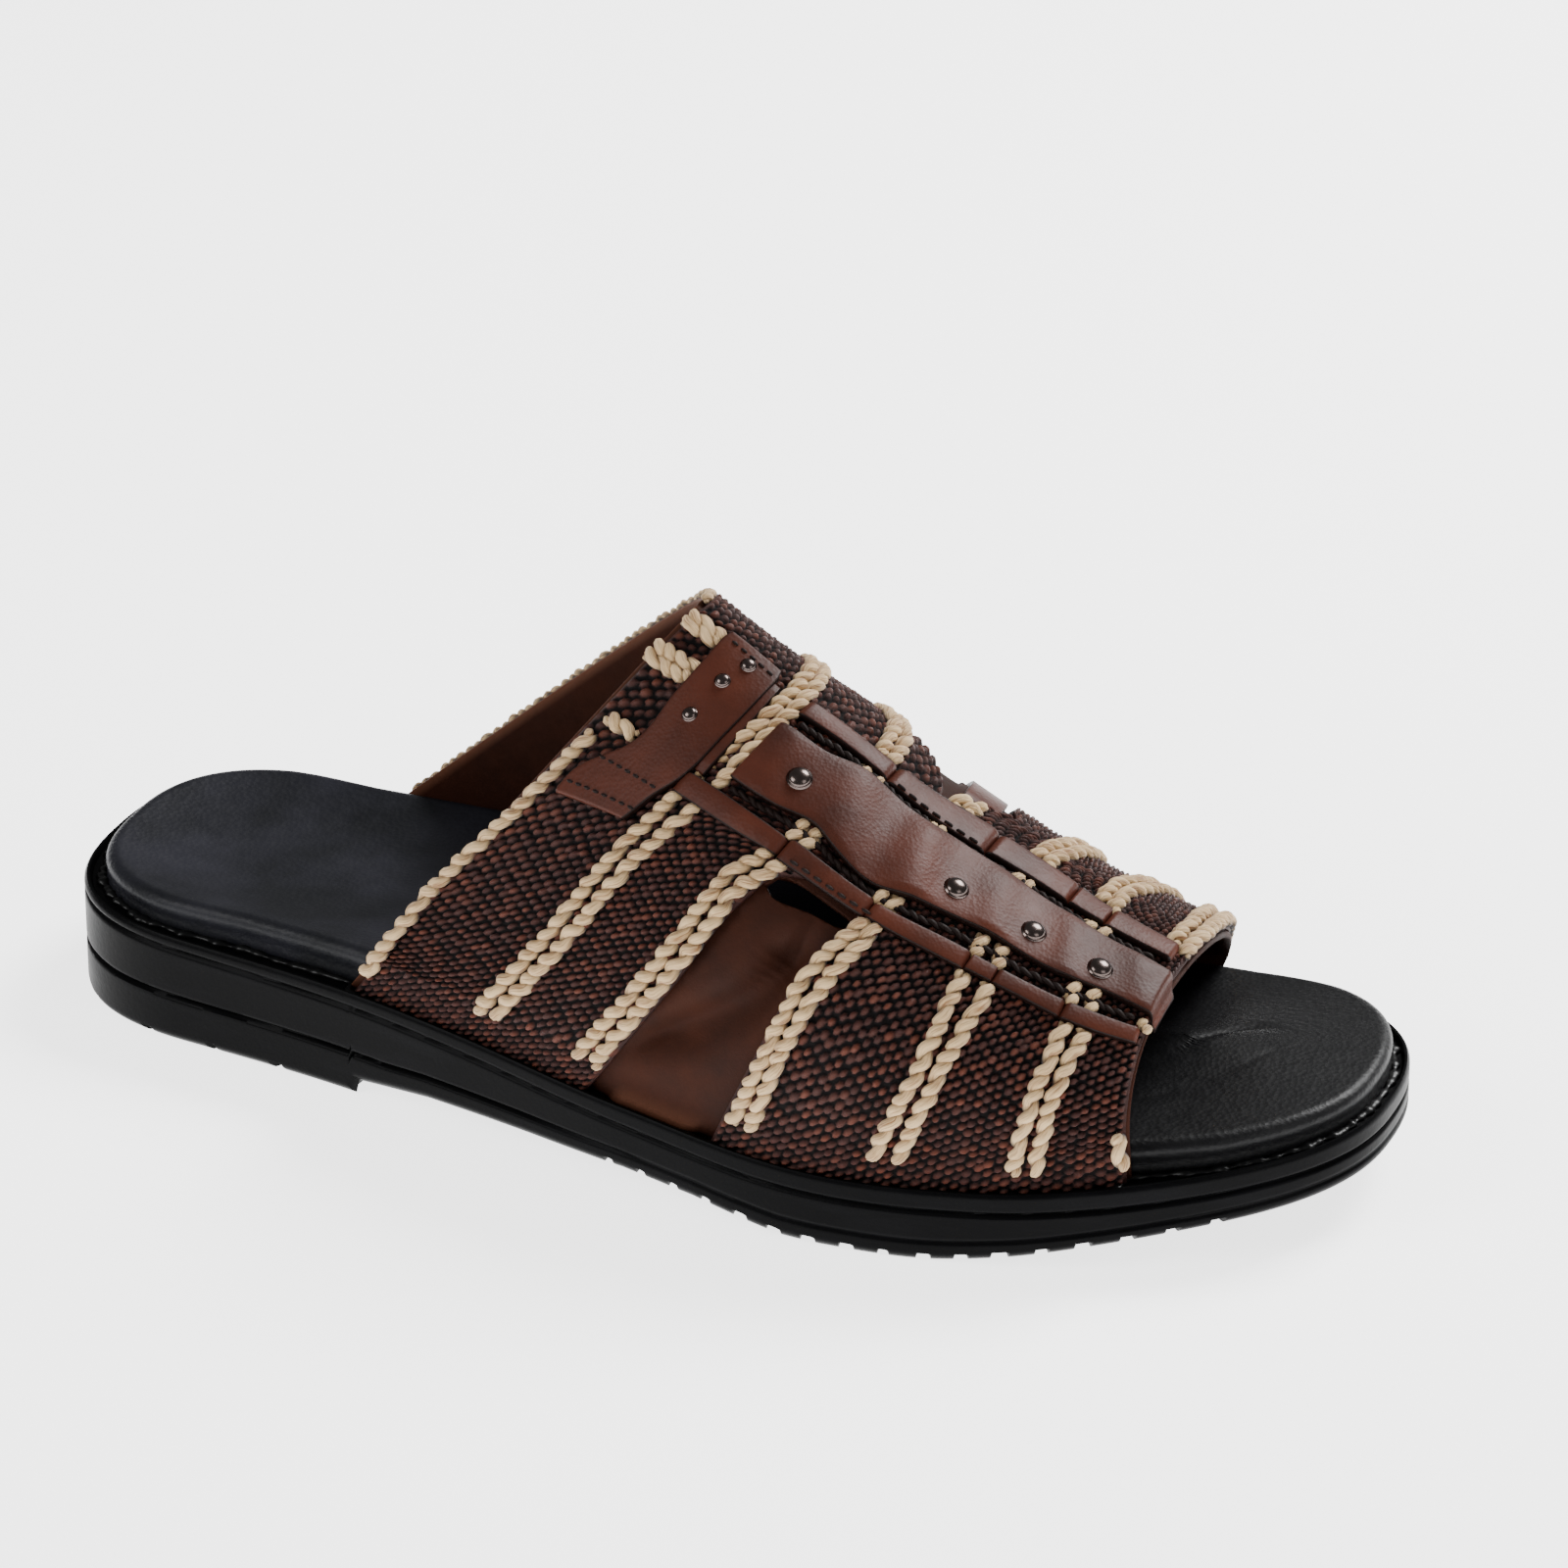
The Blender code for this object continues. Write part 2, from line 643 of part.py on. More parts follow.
def braid_lines(braids):
    """Shares across a band that its raised braids need, and one line in each wide stretch between them."""
    lines = {0.0, 1.0}
    for start, end in braids:
        if start > 0.0:
            lines.update((start - BRAID_RAMP, start))
        if end < 1.0:
            lines.update((end, end + BRAID_RAMP))
    ordered = sorted(lines)
    middles = [(low + high) / 2.0 for low, high in zip(ordered, ordered[1:]) if high - low > 0.15]
    return np.array(sorted(ordered + middles))


def build_band(name, rear, front, braids, material, collection):
    """A band of webbing over the lining, with its braids raised on both sides of the instep."""
    shares, t = np.meshgrid(braid_lines(braids), across_lines(), indexing="ij")
    s = rear(t) + (front(t) - rear(t)) * shares
    on_braid = np.zeros(s.shape, dtype=bool)
    for start, end in braids:
        on_braid |= (shares >= start - 1e-6) & (shares <= end + 1e-6)
    in_zone = np.zeros(s.shape, dtype=bool)
    for low, high in BRAID_ZONES:
        in_zone |= (t >= low) & (t <= high)
    under = LINING + FIT
    outer = under + WEBBING + np.where(on_braid & in_zone, BRAID_RISE, 0.0)
    return layer(name, s, t, under, outer, material, collection)


def strap_level():
    """Height of the underside of what lies on the bands."""
    return LINING + FIT + WEBBING + FIT


def build_long_strap(name, edges, columns, thickness, material, collection):
    """A strap that runs toward the toe on top of the bands, between two wavy edges."""
    table = np.asarray(edges)
    rows = np.linspace(table[0, 0], table[-1, 0], STRAP_ROWS)
    s, share = np.meshgrid(rows, np.linspace(0.0, 1.0, columns), indexing="ij")
    lateral = smooth_curve(edges, 1, s)
    medial = smooth_curve(edges, 2, s)
    t = lateral + (medial - lateral) * share
    level = strap_level()
    return layer(name, s, t, level, level + thickness, material, collection)


def build_cross_piece(name, edges, rows, columns, level, thickness, material, collection):
    """A strap that runs over the foot from side to side."""
    table = np.asarray(edges)
    share, t = np.meshgrid(
        np.linspace(0.0, 1.0, rows), np.linspace(table[0, 0], table[-1, 0], columns), indexing="ij"
    )
    rear = smooth_curve(edges, 1, t)
    front = smooth_curve(edges, 2, t)
    return layer(name, rear + (front - rear) * share, t, level, level + thickness, material, collection)


def build_domed_head(name, s, t, seat, radius, height, material, collection):
    """A domed metal head that sits square on the upper, turned from half of its outline."""
    arc = [math.radians(angle) for angle in (90, 65, 40, 15)]
    skirt = height * HEAD_SKIRT
    profile = [(radius * math.cos(angle), skirt + (height - skirt) * math.sin(angle)) for angle in arc]
    profile[0] = (0.0, height)
    profile += [(radius, 0.0), (0.0, 0.0)]
    mesh = bmesh.new()
    points = add_points(mesh, [(x, 0.0, z) for x, z in profile])
    for first, second in zip(points, points[1:]):
        mesh.edges.new((first, second))
    data = bpy.data.meshes.new(name)
    mesh.to_mesh(data)
    mesh.free()
    data.materials.append(material)
    head = bpy.data.objects.new(name, data)
    collection.objects.link(head)
    turned = head.modifiers.new("turned", "SCREW")
    turned.steps = 12
    turned.render_steps = 12
    turned.use_merge_vertices = True
    turned.merge_threshold = 0.00001
    turned.use_smooth_shade = True
    normal = Vector(upper_normal(s, t))
    head.matrix_world = Matrix.Translation(Vector(upper_point(s, t, seat))) @ (
        normal.to_track_quat("Z", "Y").to_matrix().to_4x4()
    )
    return head


def build_upper(materials, collection, cutters):
    """Lining, two bands, straps and metal, from the inside out."""
    webbing = materials["webbing"]
    leather = materials["strap"]
    metal = materials["metal"]
    build_lining(materials["lining"], collection, cutters)
    build_band(
        "rear_band",
        lambda t: np.full(t.shape, BAND_HEM),
        lambda t: smooth_curve(REAR_BAND_FRONT, 1, t),
        REAR_BRAIDS,
        webbing,
        collection,
    )
    build_band(
        "front_band",
        lambda t: smooth_curve(FRONT_BAND_REAR, 1, t),
        lambda t: np.full(t.shape, 1.0 - BAND_HEM / 2.0),
        FRONT_BRAIDS,
        webbing,
        collection,
    )
    build_long_strap("centre_strap", CENTRE_STRAP_EDGES, 6, STRAP, leather, collection)
    build_long_strap("rail_lateral", RAIL_LATERAL_EDGES, 3, RAIL, leather, collection)
    build_long_strap("rail_medial", RAIL_MEDIAL_EDGES, 3, RAIL, leather, collection)
    on_bands = strap_level()
    build_cross_piece("cross_strap", CROSS_STRAP_EDGES, 5, 14, on_bands, STRAP, leather, collection)
    on_lining = LINING + FIT
    build_cross_piece("side_strap", SIDE_STRAP_EDGES, 4, 18, on_lining, SIDE_STRAP, leather, collection)
    seat = on_bands + STRAP + RIVET_FIT
    for number, (s, t) in enumerate(RIVETS, start=1):
        build_domed_head(f"rivet_{number}", s, t, seat, RIVET_RADIUS, RIVET_HEIGHT, metal, collection)
    for number, (s, t) in enumerate(STUDS, start=1):
        build_domed_head(f"stud_{number}", s, t, seat, STUD_RADIUS, STUD_HEIGHT, metal, collection)


def main():
    """Clears the scene and builds the shoe."""
    for old in list(bpy.data.objects):
        bpy.data.objects.remove(old, do_unlink=True)
    shoe = bpy.data.collections.new("slide")
    cutters = bpy.data.collections.new("cutters")
    for collection in (shoe, cutters):
        bpy.context.scene.collection.children.link(collection)
    build_outsole(make_material(RUBBER), shoe, cutters)
    build_footbed(make_material(FOOTBED_LEATHER), shoe)
    materials = {
        "lining": make_material(LINING_LEATHER),
        "webbing": make_material(WEBBING_BROWN),
        "strap": make_material(STRAP_LEATHER),
        "metal": make_material(GUNMETAL),
    }
    build_upper(materials, shoe, cutters)


main()
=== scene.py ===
"""Looks of the right slide: woven bands, cream braids, riveted straps, lining, footbed and rubber sole.

Metres, +X toward the toe, +Y toward the big toe's side (medial), +Z up, as in the solid model. The upper is
one surface with two shares: s from the collar (0) to the toe opening (1), t from the foot of the lateral
wall (-1) over the instep (0) to the foot of the medial wall (1).
"""

import logging
import math
from collections.abc import Callable, Sequence
from dataclasses import dataclass, field
from enum import Enum
from functools import cached_property

import bmesh
import bpy
import numpy as np
from mathutils import Matrix, Vector

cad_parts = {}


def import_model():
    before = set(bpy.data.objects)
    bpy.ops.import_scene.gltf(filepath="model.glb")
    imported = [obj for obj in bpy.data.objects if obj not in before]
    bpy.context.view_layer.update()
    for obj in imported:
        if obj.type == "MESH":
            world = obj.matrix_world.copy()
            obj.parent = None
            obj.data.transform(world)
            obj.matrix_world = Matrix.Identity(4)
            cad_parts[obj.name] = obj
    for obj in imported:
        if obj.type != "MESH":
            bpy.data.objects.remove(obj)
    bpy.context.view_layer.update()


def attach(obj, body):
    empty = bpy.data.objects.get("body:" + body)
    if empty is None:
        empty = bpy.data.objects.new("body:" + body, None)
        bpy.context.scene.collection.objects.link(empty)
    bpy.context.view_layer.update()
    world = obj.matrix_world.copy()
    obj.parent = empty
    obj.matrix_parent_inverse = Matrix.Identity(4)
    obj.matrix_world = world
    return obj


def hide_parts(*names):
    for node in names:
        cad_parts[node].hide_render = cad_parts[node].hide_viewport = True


Array = np.ndarray
Table = Sequence[tuple[float, ...]]
Place = Callable[[Array, Array], tuple[Array, dict[str, Array]]]

LOG = logging.getLogger("slide")
MERGE = 1e-6


class Slot(Enum):
    """The record's material slots."""

    OUTSOLE = "outsole"
    FOOTBED = "footbed"
    LINING = "upper_lining"
    WEBBING = "webbing"
    STRAP = "strap_leather"
    METAL = "rivets"


def smooth_curve(table: Table, column: int, at: Array | float) -> Array:
    """Value of a table's column on a smooth curve through its rows.

    Args:
        table: Rows whose first column is the place.
        column: The column to read.
        at: The places.

    Returns:
        One value for each place.
    """
    rows = np.asarray(table, dtype=float)
    knots = rows[:, 0]
    values = rows[:, column]
    slopes = np.gradient(values, knots)
    at = np.clip(np.asarray(at, dtype=float), knots[0], knots[-1])
    left = np.clip(np.searchsorted(knots, at, side="right") - 1, 0, len(knots) - 2)
    width = knots[left + 1] - knots[left]
    part = (at - knots[left]) / width
    rest = 1.0 - part
    return (
        values[left] * (1.0 + 2.0 * part) * rest**2
        + slopes[left] * width * part * rest**2
        + values[left + 1] * part**2 * (3.0 - 2.0 * part)
        - slopes[left + 1] * width * part**2 * rest
    )


def straight_curve(table: Table, column: int, at: Array | float) -> Array:
    """Value of a table's column on straight lines through its rows.

    Args:
        table: Rows whose first column is the place.
        column: The column to read.
        at: The places.

    Returns:
        One value for each place.
    """
    rows = np.asarray(table, dtype=float)
    return np.interp(at, rows[:, 0], rows[:, column])


def step_up(low: float, high: float, at: Array) -> Array:
    """A smooth rise from 0 at low to 1 at high."""
    part = np.clip((at - low) / (high - low), 0.0, 1.0)
    return part * part * (3.0 - 2.0 * part)


def scatter(i: Array, j: Array, seed: float) -> Array:
    """A fixed random-looking number from 0 to 1 for each pair of whole numbers."""
    value = np.sin(i * 127.1 + j * 311.7 + seed * 74.7) * 43758.5453
    return value - np.floor(value)


def wander(at: Array, seed: float) -> Array:
    """A slow smooth wave between -1 and 1, different for each seed.

    Args:
        at: The places.
        seed: Picks the wave.

    Returns:
        One value for each place.
    """
    return (
        np.sin(at * 1.0 + seed * 1.7)
        + 0.6 * np.sin(at * 2.3 + seed * 3.1)
        + 0.4 * np.sin(at * 4.1 + seed * 5.3)
    ) / 2.0


def unit(vectors: Array) -> Array:
    """The vectors at length 1."""
    return vectors / np.linalg.norm(vectors, axis=-1, keepdims=True)


@dataclass
class ShoeForm:
    """The sole's outline and the upper's surface, with the solid model's sizes."""

    length: float = 0.288
    ball_width: float = 0.1033
    toe_drift: float = 0.0064
    heel_cap: float = 0.036
    toe_cap: float = 0.070
    heel_squareness: float = 2.6
    toe_squareness: float = 2.28
    rim_height: float = 0.0263
    rim_lip: float = 0.0015
    tray_depth: float = 0.0012
    heel_block: float = 0.0765
    breast_step: float = 0.0032
    toe_spring: float = 0.0110
    footbed_rise: float = 0.0074
    footbed_round: float = 0.0023
    heel_cup: float = 0.0040
    arch_pad: float = 0.0022
    instep_height: float = 0.1030
    wall_rise: float = 0.0085
    rise_share: float = 0.92
    lining: float = 0.0012
    webbing: float = 0.0018
    strap: float = 0.0016
    rail: float = 0.0013
    side_strap: float = 0.0012
    fit: float = 0.00035
    lateral_base: tuple[float, float] = (0.260, 0.862)
    medial_base: tuple[float, float] = (0.165, 0.815)
    ridge: tuple[float, float] = (0.466, 0.856)
    outline: Table = (
        (0.00, 0.340, 0.346), (0.10, 0.364, 0.353), (0.22, 0.402, 0.361), (0.36, 0.475, 0.364),
        (0.50, 0.560, 0.372), (0.64, 0.613, 0.387), (0.78, 0.560, 0.414), (0.90, 0.475, 0.460),
        (1.00, 0.427, 0.530),
    )
    rim: Table = (
        (0.0, 1.0), (0.15, 0.94), (0.30, 0.905), (0.50, 0.74), (0.70, 0.62), (0.85, 0.70), (1.0, 0.865),
    )
    tread: Table = ((0.00, 0.14), (0.03, 0.0), (0.26, 0.0))
    waist: Table = ((0.27, 0.0), (0.33, 0.13), (0.42, 0.15), (0.50, 0.14), (0.56, 0.03), (0.63, -0.26))
    forefoot: Table = ((0.66, 0.0), (0.74, 0.0), (0.79, 0.17), (0.85, 0.43), (0.92, 0.72), (1.0, 1.0))
    ridge_line: Table = (
        (0.00, 0.050, 1.000), (0.15, 0.030, 0.905), (0.30, 0.010, 0.825), (0.50, -0.010, 0.695),
        (0.75, -0.010, 0.560), (1.00, -0.005, 0.466),
    )
    shoulder: Table = (
        (0.0, 1.15, 2.18), (0.25, 2.0, 2.3), (0.5, 2.6, 2.4), (0.75, 2.6, 2.0), (1.0, 2.38, 1.5),
    )

    def tip_rounding(self, share: Array) -> Array:
        """Rounds the heel and the toe.

        Args:
            share: Share of the length.

        Returns:
            The share of the half width that is left: 1 between the rounded ends.
        """
        heel = 1.0 - np.clip(share * self.length / self.heel_cap, 0.0, 1.0)
        toe = 1.0 - np.clip((1.0 - share) * self.length / self.toe_cap, 0.0, 1.0)
        heel = (1.0 - heel**self.heel_squareness) ** (1.0 / self.heel_squareness)
        return heel * (1.0 - toe**self.toe_squareness) ** (1.0 / self.toe_squareness)

    def sole_x(self, share: Array, inset: Array | float) -> Array:
        """X at a share of the length of the outline that lies the inset inside the rim."""
        return inset + (self.length - 2.0 * inset) * share - self.length / 2.0

    def outline_share(self, x: Array, inset: Array | float) -> Array:
        """Share of the length at X of the outline that lies the inset inside the rim."""
        return (x + self.length / 2.0 - inset) / (self.length - 2.0 * inset)

    def sole_y(self, share: Array, side: Array | float, inset: Array | float) -> Array:
        """Gives the outline's edge before the sole is centred.

        Args:
            share: Share of the length.
            side: -1 lateral, 1 medial.
            inset: Distance inside the rim.

        Returns:
            Y of each place.
        """
        lateral = smooth_curve(self.outline, 1, share)
        medial = smooth_curve(self.outline, 2, share)
        half = np.where(np.asarray(side) < 0, lateral, medial) * self.ball_width - inset
        return self.toe_drift * share + side * half * self.tip_rounding(share)

    @cached_property
    def side_shift(self) -> float:
        """How far the sole moves sideways so that its two sides lie as far from the origin."""
        share = np.linspace(0.0, 1.0, 400)
        return -(self.sole_y(share, -1.0, 0.0).min() + self.sole_y(share, 1.0, 0.0).max()) / 2.0

    def rim_z(self, share: Array) -> Array:
        """Height of the rim's top edge."""
        return smooth_curve(self.rim, 1, share) * self.rim_height

    def tray_z(self, share: Array) -> Array:
        """Height of the flat that the footbed and the upper stand on."""
        return self.rim_z(share) - self.tray_depth

    def tread_z(self, share: Array) -> Array:
        """Gives the tread: heel block, a step up to the waist, forefoot, and the toe spring.

        Args:
            share: Share of the length.

        Returns:
            The tread's height.
        """
        heel_end = self.heel_block / self.length
        heel = straight_curve(self.tread, 1, share) * self.toe_spring
        waist = self.breast_step + straight_curve(self.waist, 1, share) * self.toe_spring
        forefoot = smooth_curve(self.forefoot, 1, share) * self.toe_spring
        start = self.waist[-1][0]
        front = np.clip((share - start) / (self.forefoot[0][0] - start), 0.0, 1.0)
        return np.where(share <= heel_end, heel, waist * (1.0 - front) + forefoot * front)

    @property
    def lining_inset(self) -> float:
        """How far the lining's inner face stands inside the rim."""
        return self.rim_lip + self.fit + self.webbing + self.fit + self.lining

    def skeleton(self, s: Array, t: Array) -> Array:
        """Gives the lining's inner face.

        Args:
            s: Shares from the collar to the toe opening.
            t: Shares over the foot, from the lateral foot to the medial foot.

        Returns:
            One point for each pair.
        """
        s, t = np.broadcast_arrays(np.asarray(s, dtype=float), np.asarray(t, dtype=float))
        lateral = t < 0.0
        reach = np.abs(t)
        inset = self.lining_inset
        start = np.where(lateral, self.lateral_base[0], self.medial_base[0])
        end = np.where(lateral, self.lateral_base[1], self.medial_base[1])
        base_x = (start + (end - start) * s) * self.length - self.length / 2.0
        foot_z = self.tray_z(self.outline_share(base_x, inset)) + self.fit
        ridge_x = (self.ridge[0] + (self.ridge[1] - self.ridge[0]) * s) * self.length - self.length / 2.0
        ridge_y = smooth_curve(self.ridge_line, 1, s) * self.ball_width + self.side_shift
        ridge_z = smooth_curve(self.ridge_line, 2, s) * self.instep_height
        square = np.where(lateral, smooth_curve(self.shoulder, 1, s), smooth_curve(self.shoulder, 2, s))
        angle = np.clip((self.rise_share - reach) / self.rise_share, 0.0, 1.0) * math.pi / 2.0
        inward = np.clip(np.cos(angle), 0.0, 1.0) ** (2.0 / square)
        upward = np.clip(np.sin(angle), 0.0, 1.0) ** (2.0 / square)
        foot = self.wall_rise * np.clip((1.0 - reach) / (1.0 - self.rise_share), 0.0, 1.0)
        z = foot_z + foot + (ridge_z - foot_z - self.wall_rise) * upward
        lean = (ridge_x - base_x) / (ridge_z - foot_z)
        wall_share = self.outline_share(base_x + lean * foot, inset)
        wall_y = self.sole_y(wall_share, np.where(lateral, -1.0, 1.0), inset) + self.side_shift
        x = base_x + lean * (z - foot_z)
        return np.stack([x, ridge_y + (wall_y - ridge_y) * inward, z], axis=-1)

    def normal(self, s: Array, t: Array) -> Array:
        """Gives the direction that points out of the upper.

        Args:
            s: Shares from the collar to the toe opening.
            t: Shares over the foot.

        Returns:
            One unit vector for each pair.
        """
        step = 0.004
        s = np.asarray(s, dtype=float)
        t = np.asarray(t, dtype=float)
        along = self.skeleton(s + step, t) - self.skeleton(s - step, t)
        over = self.skeleton(s, np.minimum(t + step, 1.0)) - self.skeleton(s, np.maximum(t - step, -1.0))
        return unit(np.cross(along, over))

    def point(self, s: Array, t: Array, height: Array | float) -> Array:
        """The point that lies the height outside the lining's inner face."""
        return self.skeleton(s, t) + self.normal(s, t) * np.asarray(height, dtype=float)[..., None]

    @property
    def band_level(self) -> float:
        """Height of the bands' outer face."""
        return self.lining + self.fit + self.webbing

    @property
    def strap_level(self) -> float:
        """Height of the underside of what lies on the bands."""
        return self.band_level + self.fit


FORM = ShoeForm()


def shaped_grid(name: str, along: int, around: int, place: Place, closed: bool = True) -> bpy.types.Mesh:
    """A fine grid whose vertices are moved to a surface.

    Args:
        name: The mesh's name.
        along: Number of faces in the first direction.
        around: Number of faces in the second direction.
        place: Takes the two shares of each vertex, from 0 to 1, and returns points and attributes.
        closed: Whether the edges that meet are merged and the open ends filled.

    Returns:
        The mesh, with its attributes on its points.
    """
    mesh = bmesh.new()
    bmesh.ops.create_grid(mesh, x_segments=along, y_segments=around, size=0.5)
    data = bpy.data.meshes.new(name)
    mesh.to_mesh(data)
    mesh.free()
    flat = np.empty(len(data.vertices) * 3, np.float32)
    data.vertices.foreach_get("co", flat)
    corners = flat.reshape(-1, 3)[:, :2].astype(float)
    corners = (corners - corners.min(axis=0)) / np.ptp(corners, axis=0)
    points, marks = place(corners[:, 0], corners[:, 1])
    data.vertices.foreach_set("co", points.astype(np.float32).ravel())
    for key, values in marks.items():
        several = values.ndim > 1
        layer = data.attributes.new(key, "FLOAT_VECTOR" if several else "FLOAT", "POINT")
        layer.data.foreach_set("vector" if several else "value", values.astype(np.float32).ravel())
    if closed:
        close_mesh(data)
    data.shade_smooth()
    return data


def close_mesh(data: bpy.types.Mesh) -> None:
    """Merges the edges that meet, fills the open ends and points the faces outwards.

    Args:
        data: The mesh, which is changed in place.
    """
    mesh = bmesh.new()
    mesh.from_mesh(data)
    bmesh.ops.remove_doubles(mesh, verts=mesh.verts, dist=MERGE)
    open_edges = [edge for edge in mesh.edges if edge.is_boundary]
    if open_edges:
        bmesh.ops.holes_fill(mesh, edges=open_edges, sides=0)
    bmesh.ops.recalc_face_normals(mesh, faces=mesh.faces)
    mesh.to_mesh(data)
    mesh.free()


def joined(name: str, parts: Sequence[bpy.types.Mesh]) -> bpy.types.Mesh:
    """Puts several meshes into one.

    Args:
        name: The new mesh's name.
        parts: The meshes, which are removed.

    Returns:
        One mesh that holds them all.
    """
    mesh = bmesh.new()
    for part in parts:
        mesh.from_mesh(part)
    data = bpy.data.meshes.new(name)
    mesh.to_mesh(data)
    mesh.free()
    for part in parts:
        bpy.data.meshes.remove(part)
    data.shade_smooth()
    return data


def add_piece(
    data: bpy.types.Mesh, material: bpy.types.Material, replaced: Sequence[str] = ()
) -> bpy.types.Object:
    """Puts a finished mesh in the scene on the shoe's body.

    Args:
        data: The mesh, whose name the object takes.
        material: The finish.
        replaced: The solid pieces that it stands for.

    Returns:
        The object.
    """
    data.materials.append(material)
    made = bpy.data.objects.new(data.name, data)
    bpy.context.scene.collection.objects.link(made)
    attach(made, "root")
    if replaced:
        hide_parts(*replaced)
    LOG.info("%s: %d faces", made.name, len(data.polygons))
    return made


class Shade:
    """A Principled material that is put together node by node."""

    def __init__(self, name: str, roughness: float, metallic: float = 0.0) -> None:
        """Starts the material.

        Args:
            name: Its name.
            roughness: Its plain roughness.
            metallic: Its metallic value.
        """
        self.material = bpy.data.materials.new(name)
        self.material.use_nodes = True
        self.tree = self.material.node_tree
        self.shader = self.tree.nodes["Principled BSDF"]
        self.shader.inputs["Roughness"].default_value = roughness
        self.shader.inputs["Metallic"].default_value = metallic

    def add(self, kind: str, settings: dict[str, object] | None = None, **inputs: object) -> bpy.types.Node:
        """Adds a node.

        Args:
            kind: The node's type.
            settings: Properties of the node.
            **inputs: Values or sockets for the node's inputs, by name with _ for a space.

        Returns:
            The node.
        """
        node = self.tree.nodes.new(kind)
        for key, value in (settings or {}).items():
            setattr(node, key, value)
        for key, value in inputs.items():
            self.feed(node.inputs[key.replace("_", " ")], value)
        return node

    def feed(self, socket: bpy.types.NodeSocket, value: object) -> None:
        """Links a socket or sets a plain value.

        Args:
            socket: The input.
            value: What it gets.
        """
        if isinstance(value, bpy.types.NodeSocket):
            self.tree.links.new(value, socket)
        else:
            socket.default_value = value

    def set(self, name: str, value: object) -> None:
        """Links or sets one of the shader's inputs."""
        self.feed(self.shader.inputs[name], value)

    def place(self, scale: tuple[float, float, float] = (1.0, 1.0, 1.0)) -> bpy.types.NodeSocket:
        """Object coordinates, scaled."""
        coords = self.add("ShaderNodeTexCoord").outputs["Object"]
        return self.add("ShaderNodeMapping", Vector=coords, Scale=scale).outputs["Vector"]

    def mark(self, name: str, output: str = "Fac") -> bpy.types.NodeSocket:
        """One of the mesh's own attributes."""
        return self.add("ShaderNodeAttribute", {"attribute_name": name}).outputs[output]

    def noise(
        self, vector: bpy.types.NodeSocket, scale: float, detail: float = 3.0, rough: float = 0.55
    ) -> bpy.types.NodeSocket:
        """Noise from 0 to 1."""
        node = self.add("ShaderNodeTexNoise", Vector=vector, Scale=scale, Detail=detail, Roughness=rough)
        return node.outputs["Fac"]

    def cells(self, vector: bpy.types.NodeSocket, scale: float) -> bpy.types.NodeSocket:
        """Distance from the middle of small cells."""
        return self.add("ShaderNodeTexVoronoi", Vector=vector, Scale=scale).outputs["Distance"]

    def math(self, operation: str, first: object, second: object) -> bpy.types.NodeSocket:
        """Calculates with two values.

        Args:
            operation: The calculation's name.
            first: A number or socket.
            second: A number or socket.

        Returns:
            The result.
        """
        node = self.add("ShaderNodeMath", {"operation": operation})
        self.feed(node.inputs[0], first)
        self.feed(node.inputs[1], second)
        return node.outputs[0]

    def band(self, value: bpy.types.NodeSocket, low: float, high: float) -> bpy.types.NodeSocket:
        """The value stretched so that low gives 0 and high gives 1, clipped."""
        node = self.add("ShaderNodeMapRange", Value=value, From_Min=low, From_Max=high)
        return node.outputs["Result"]

    def range(self, value: bpy.types.NodeSocket, low: float, high: float) -> bpy.types.NodeSocket:
        """A value from 0 to 1 moved to run from low to high."""
        return self.add("ShaderNodeMapRange", Value=value, To_Min=low, To_Max=high).outputs["Result"]

    def blend(
        self, factor: object, first: object, second: object, kind: str = "MIX"
    ) -> bpy.types.NodeSocket:
        """Mixes two colours.

        Args:
            factor: How much of the second colour shows.
            first: A colour or socket.
            second: A colour or socket.
            kind: The way they are mixed.

        Returns:
            The mixed colour.
        """
        node = self.add("ShaderNodeMix", {"data_type": "RGBA", "blend_type": kind})
        for index, value in ((0, factor), (6, first), (7, second)):
            self.feed(node.inputs[index], value)
        return node.outputs[2]

    def bump(self, height: bpy.types.NodeSocket, depth: float, below: object = None) -> bpy.types.NodeSocket:
        """Raises a bump.

        Args:
            height: Height from 0 to 1.
            depth: Its depth in metres.
            below: The normal of a bump under it.

        Returns:
            The bumped normal.
        """
        node = self.add("ShaderNodeBump", Height=height, Distance=depth, Strength=1.0)
        if below is not None:
            self.feed(node.inputs["Normal"], below)
        return node.outputs["Normal"]


def colour(red: float, green: float, blue: float) -> tuple[float, float, float, float]:
    """A linear colour from display values between 0 and 255."""
    return (*[((value / 255.0 + 0.055) / 1.055) ** 2.4 for value in (red, green, blue)], 1.0)


